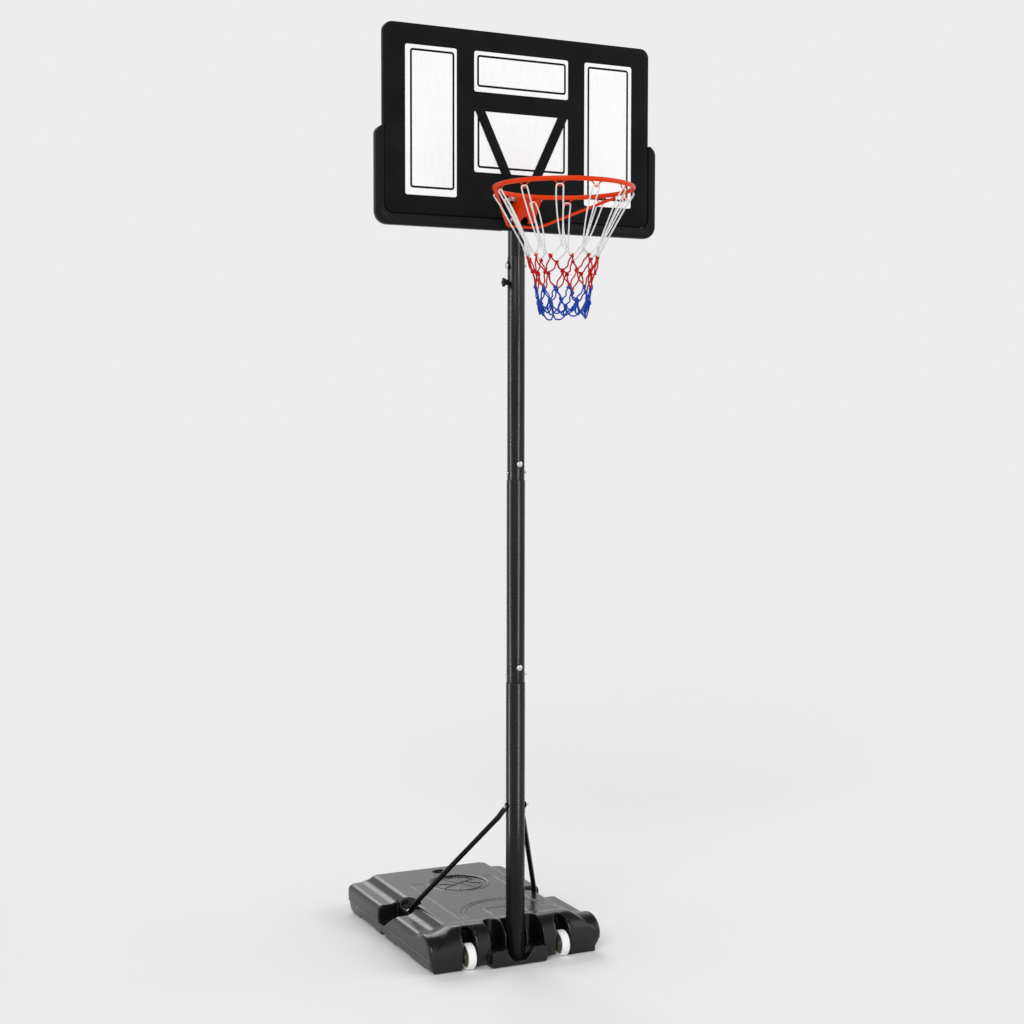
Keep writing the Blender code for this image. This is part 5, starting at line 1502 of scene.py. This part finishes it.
def knot(centre, size=0.0052, tilt=0.0):
    """An overhand knot drawn tight: a small closed trefoil of the same cord."""
    out = Vector((centre.x, centre.y - RIM_Y, 0.0)).normalized()
    around = Vector((-out.y, out.x, 0.0))
    rise = Vector((0.0, 0.0, 1.0))
    line = []
    for k in range(40):
        t = 2.0 * math.pi * k / 40
        a = (math.sin(t) + 2.0 * math.sin(2.0 * t)) / 3.0
        b = (math.cos(t) - 2.0 * math.cos(2.0 * t)) / 3.0
        c = -math.sin(3.0 * t) * 0.42
        u = a * math.cos(tilt) - b * math.sin(tilt)
        v = a * math.sin(tilt) + b * math.cos(tilt)
        line.append(centre + around * (u * size) + rise * (v * size) + out * (c * size))
    return swept(line, CORD, CORD_SIDES, closed=True)


def net_point(number, radius, z, spread=0.0):
    heading = 2.0 * math.pi * number / HOOK_COUNT + chance.uniform(-spread, spread)
    reach = radius + chance.uniform(-spread, spread) * 0.035
    lift = chance.uniform(-spread, spread) * 0.10
    return Vector((reach * math.cos(heading), RIM_Y + reach * math.sin(heading), z + lift))


def cord_piece(name, node, slot, tubes):
    vertices, faces, places = [], [], []
    for some_vertices, some_faces, some_places in tubes:
        start = len(vertices)
        vertices += some_vertices
        faces += [tuple(i + start for i in face) for face in some_faces]
        places += some_places
    return mesh_piece(name, vertices, faces, slot, node, angle=80.0, uv=places)


white, red, blue = [], [], []
row_a = [net_point(n, 0.1370, 2.5920, 0.050) for n in range(HOOK_COUNT)]
row_b = [net_point(n + 0.5, 0.1230, 2.5560, 0.050) for n in range(HOOK_COUNT)]
row_c = [net_point(n, 0.1080, 2.5050, 0.070) for n in range(HOOK_COUNT)]
row_d = [net_point(n + 0.5, 0.0965, 2.4500, 0.070) for n in range(HOOK_COUNT)]
row_e = [net_point(n, 0.0905, 2.4020, 0.080) for n in range(HOOK_COUNT)]


def sagged(start, end, drop):
    """A slack cord between two knots."""
    return [start, (start + end) * 0.5 + Vector((0.0, 0.0, -drop)), end]


for n, (seat, spoke, tangent) in enumerate(hook_seats):
    top = seat + Vector((0.0, 0.0, 0.0048))
    sway = tangent * chance.uniform(-0.004, 0.004)
    low_knot = row_a[n]
    bight = [low_knot - tangent * 0.002, low_knot * 0.6 + top * 0.4 - tangent * 0.0085 + sway]
    bight += [low_knot * 0.25 + top * 0.75 - tangent * 0.0115 + sway,
              top - tangent * 0.0115 - Vector((0.0, 0.0, 0.006))]
    bight += [top - tangent * 0.0070 + Vector((0.0, 0.0, 0.0010)), top + Vector((0.0, 0.0, 0.0026))]
    bight += [top + tangent * 0.0070 + Vector((0.0, 0.0, 0.0010)),
              top + tangent * 0.0115 - Vector((0.0, 0.0, 0.006))]
    bight += [low_knot * 0.25 + top * 0.75 + tangent * 0.0115 + sway]
    bight += [low_knot * 0.6 + top * 0.4 + tangent * 0.0085 + sway, low_knot + tangent * 0.002]
    white.append(strand(bight, 6))
    white.append(knot(row_a[n], 0.0056, n * 0.7))
    red.append(knot(row_b[n], 0.0058, n * 1.1))
    red.append(knot(row_c[n], 0.0062, n * 0.4))
    blue.append(knot(row_d[n], 0.0060, n * 0.9))
    blue.append(knot(row_e[n], 0.0060, n * 1.3))
    for m in (n - 1, n):
        white.append(strand(sagged(row_a[n], row_b[m], 0.002), 9, chance.uniform(-0.003, 0.004), 0.0015))
        red.append(strand(sagged(row_c[n], row_d[m], 0.004), 10, chance.uniform(-0.006, 0.006), 0.0040))
    for m in (n, (n + 1) % HOOK_COUNT):
        red.append(strand(sagged(row_b[n], row_c[m], 0.005), 10, chance.uniform(-0.006, 0.006), 0.0040))
        blue.append(strand(sagged(row_d[n], row_e[m], 0.005), 10, chance.uniform(-0.007, 0.006), 0.0050))
    for reach, low_z, wide, shift in ((0.087, 2.350, 0.013, -0.25), (0.079, 2.366, 0.009, 0.25)):
        heading = 2.0 * math.pi * (n + 0.5 + shift + chance.uniform(-0.22, 0.22)) / HOOK_COUNT
        reach += chance.uniform(-0.008, 0.002)
        spread = wide + chance.uniform(-0.003, 0.004)
        bottom = Vector((reach * math.cos(heading), RIM_Y + reach * math.sin(heading),
                         low_z + chance.uniform(0.0, 0.016)))
        around = Vector((-math.sin(heading), math.cos(heading), 0.0))
        first, last = row_e[n], row_e[(n + 1) % HOOK_COUNT]
        loop = [first, first * 0.45 + bottom * 0.55 - around * spread, bottom - around * spread * 0.55]
        loop += [bottom + Vector((0.0, 0.0, -0.003)), bottom + around * spread * 0.55]
        loop += [last * 0.45 + bottom * 0.55 + around * spread * 0.6, last]
        blue.append(strand(loop, 8, chance.uniform(-0.008, 0.003), 0.0050))
cord_piece("net_white_cord", "net_white", "cord_white", white)
cord_piece("net_red_cord", "net_red", "cord_red", red)
cord_piece("net_blue_cord", "net_blue", "cord_blue", blue)

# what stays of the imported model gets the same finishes
for node_name, node in frame["nodes"].items():
    if node.hide_render:
        continue
    for place in node.material_slots:
        if place.material is not None:
            base = place.material.name.split(".")[0]
            place.material = finishes.get(base, finishes["tank_plastic"])

# ---- floor, light and camera -------------------------------------------------------------------------
floor_mesh = bpy.data.meshes.new("floor")
reach = 60.0
floor_mesh.from_pydata([(-reach, -reach, 0), (reach, -reach, 0), (reach, reach, 0), (-reach, reach, 0)], [],
                       [(0, 1, 2, 3)])
floor = bpy.data.objects.new("floor", floor_mesh)
bpy.context.scene.collection.objects.link(floor)
floor_finish = Finish("pale_floor", specular=0.0)
floor_finish.shader.inputs["Roughness"].default_value = 0.95
floor_finish.colour(floor_finish.ramp(floor_finish.noise(0.6),
                                      [(0.3, (0.898, 0.898, 0.900)), (0.7, (0.904, 0.904, 0.906))]))
floor_mesh.materials.append(floor_finish.material)
floor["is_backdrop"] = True

world = bpy.data.worlds.new("studio")
bpy.context.scene.world = world
world.use_nodes = True
background = world.node_tree.nodes["Background"]
direction = world.node_tree.nodes.new("ShaderNodeTexCoord")
height_part = world.node_tree.nodes.new("ShaderNodeSeparateXYZ")
dimmed = world.node_tree.nodes.new("ShaderNodeMapRange")
dimmed.interpolation_type = "SMOOTHSTEP"
dimmed.inputs["From Min"].default_value = 0.38
dimmed.inputs["From Max"].default_value = 0.80
dimmed.inputs["To Min"].default_value = 0.847
dimmed.inputs["To Max"].default_value = 0.16
world.node_tree.links.new(direction.outputs["Generated"], height_part.inputs["Vector"])
world.node_tree.links.new(height_part.outputs["Z"], dimmed.inputs["Value"])
world.node_tree.links.new(dimmed.outputs["Result"], background.inputs["Strength"])
background.inputs["Color"].default_value = (1.0, 1.0, 1.004, 1.0)
bpy.context.scene.view_settings.view_transform = "Standard"


def soft_sun(name, toward, strength, spread):
    """A broad soft light from far away, so that the whole floor gets the same tone."""
    light = bpy.data.lights.new(name, "SUN")
    light.energy = strength
    light.angle = math.radians(spread)
    lamp = bpy.data.objects.new(name, light)
    bpy.context.scene.collection.objects.link(lamp)
    lamp.location = Vector(toward).normalized() * 8.0
    lamp.rotation_euler = (-Vector(toward)).to_track_quat("-Z", "Y").to_euler()
    return lamp


soft_sun("key_light", (-0.75, -1.0, 0.95), 1.10, 30.0)
soft_sun("fill_light", (1.0, -0.55, 0.75), 0.60, 40.0)
soft_sun("back_light", (0.15, 1.0, 0.85), 1.05, 36.0)


def strip_light(name, toward, power, lit):
    """A tall soft box that draws an upright line on the pole's tubes and lights nothing else."""
    light = bpy.data.lights.new(name, "AREA")
    light.shape = "RECTANGLE"
    light.size = 0.20
    light.size_y = 5.8
    light.energy = power
    lamp = bpy.data.objects.new(name, light)
    bpy.context.scene.collection.objects.link(lamp)
    lamp.location = Vector((toward[0], toward[1], 2.12))
    lamp.rotation_euler = Vector((-toward[0], -toward[1], 0.0)).to_track_quat("-Z", "Y").to_euler()
    lamp.visible_camera = False
    lamp.light_linking.receiver_collection = lit
    return lamp


pole_tubes = bpy.data.collections.new("pole_tubes")
for piece_name in ("pole_bottom_tube", "pole_middle_tube", "pole_sleeve_tube", "pole_inner_tube"):
    pole_tubes.objects.link(bpy.data.objects[piece_name])
strip_light("left_strip", (-0.966, 0.259), 83.0, pole_tubes)
strip_light("right_strip", (0.260, -0.966), 83.0, pole_tubes)

azimuth = math.radians(-25.21)
elevation = math.radians(2.92)
roll = math.radians(0.08)
back_way = Vector((math.sin(azimuth) * math.cos(elevation), -math.cos(azimuth) * math.cos(elevation),
                   math.sin(elevation)))
right_way = Vector((math.cos(azimuth), math.sin(azimuth), 0.0))
up_way = back_way.cross(right_way)
right_way = right_way * math.cos(roll) + up_way * math.sin(roll)
up_way = back_way.cross(right_way)
turn = Matrix((right_way, up_way, back_way)).transposed().to_4x4()
turn.translation = Vector((-2.5805, -5.449, 1.9753))
camera_data = bpy.data.cameras.new("camera")
camera_data.lens = 58.13
camera_data.sensor_width = 36.0
camera_data.clip_end = 200.0
camera = bpy.data.objects.new("camera", camera_data)
bpy.context.scene.collection.objects.link(camera)
camera.matrix_world = turn
bpy.context.scene.camera = camera

low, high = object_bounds()
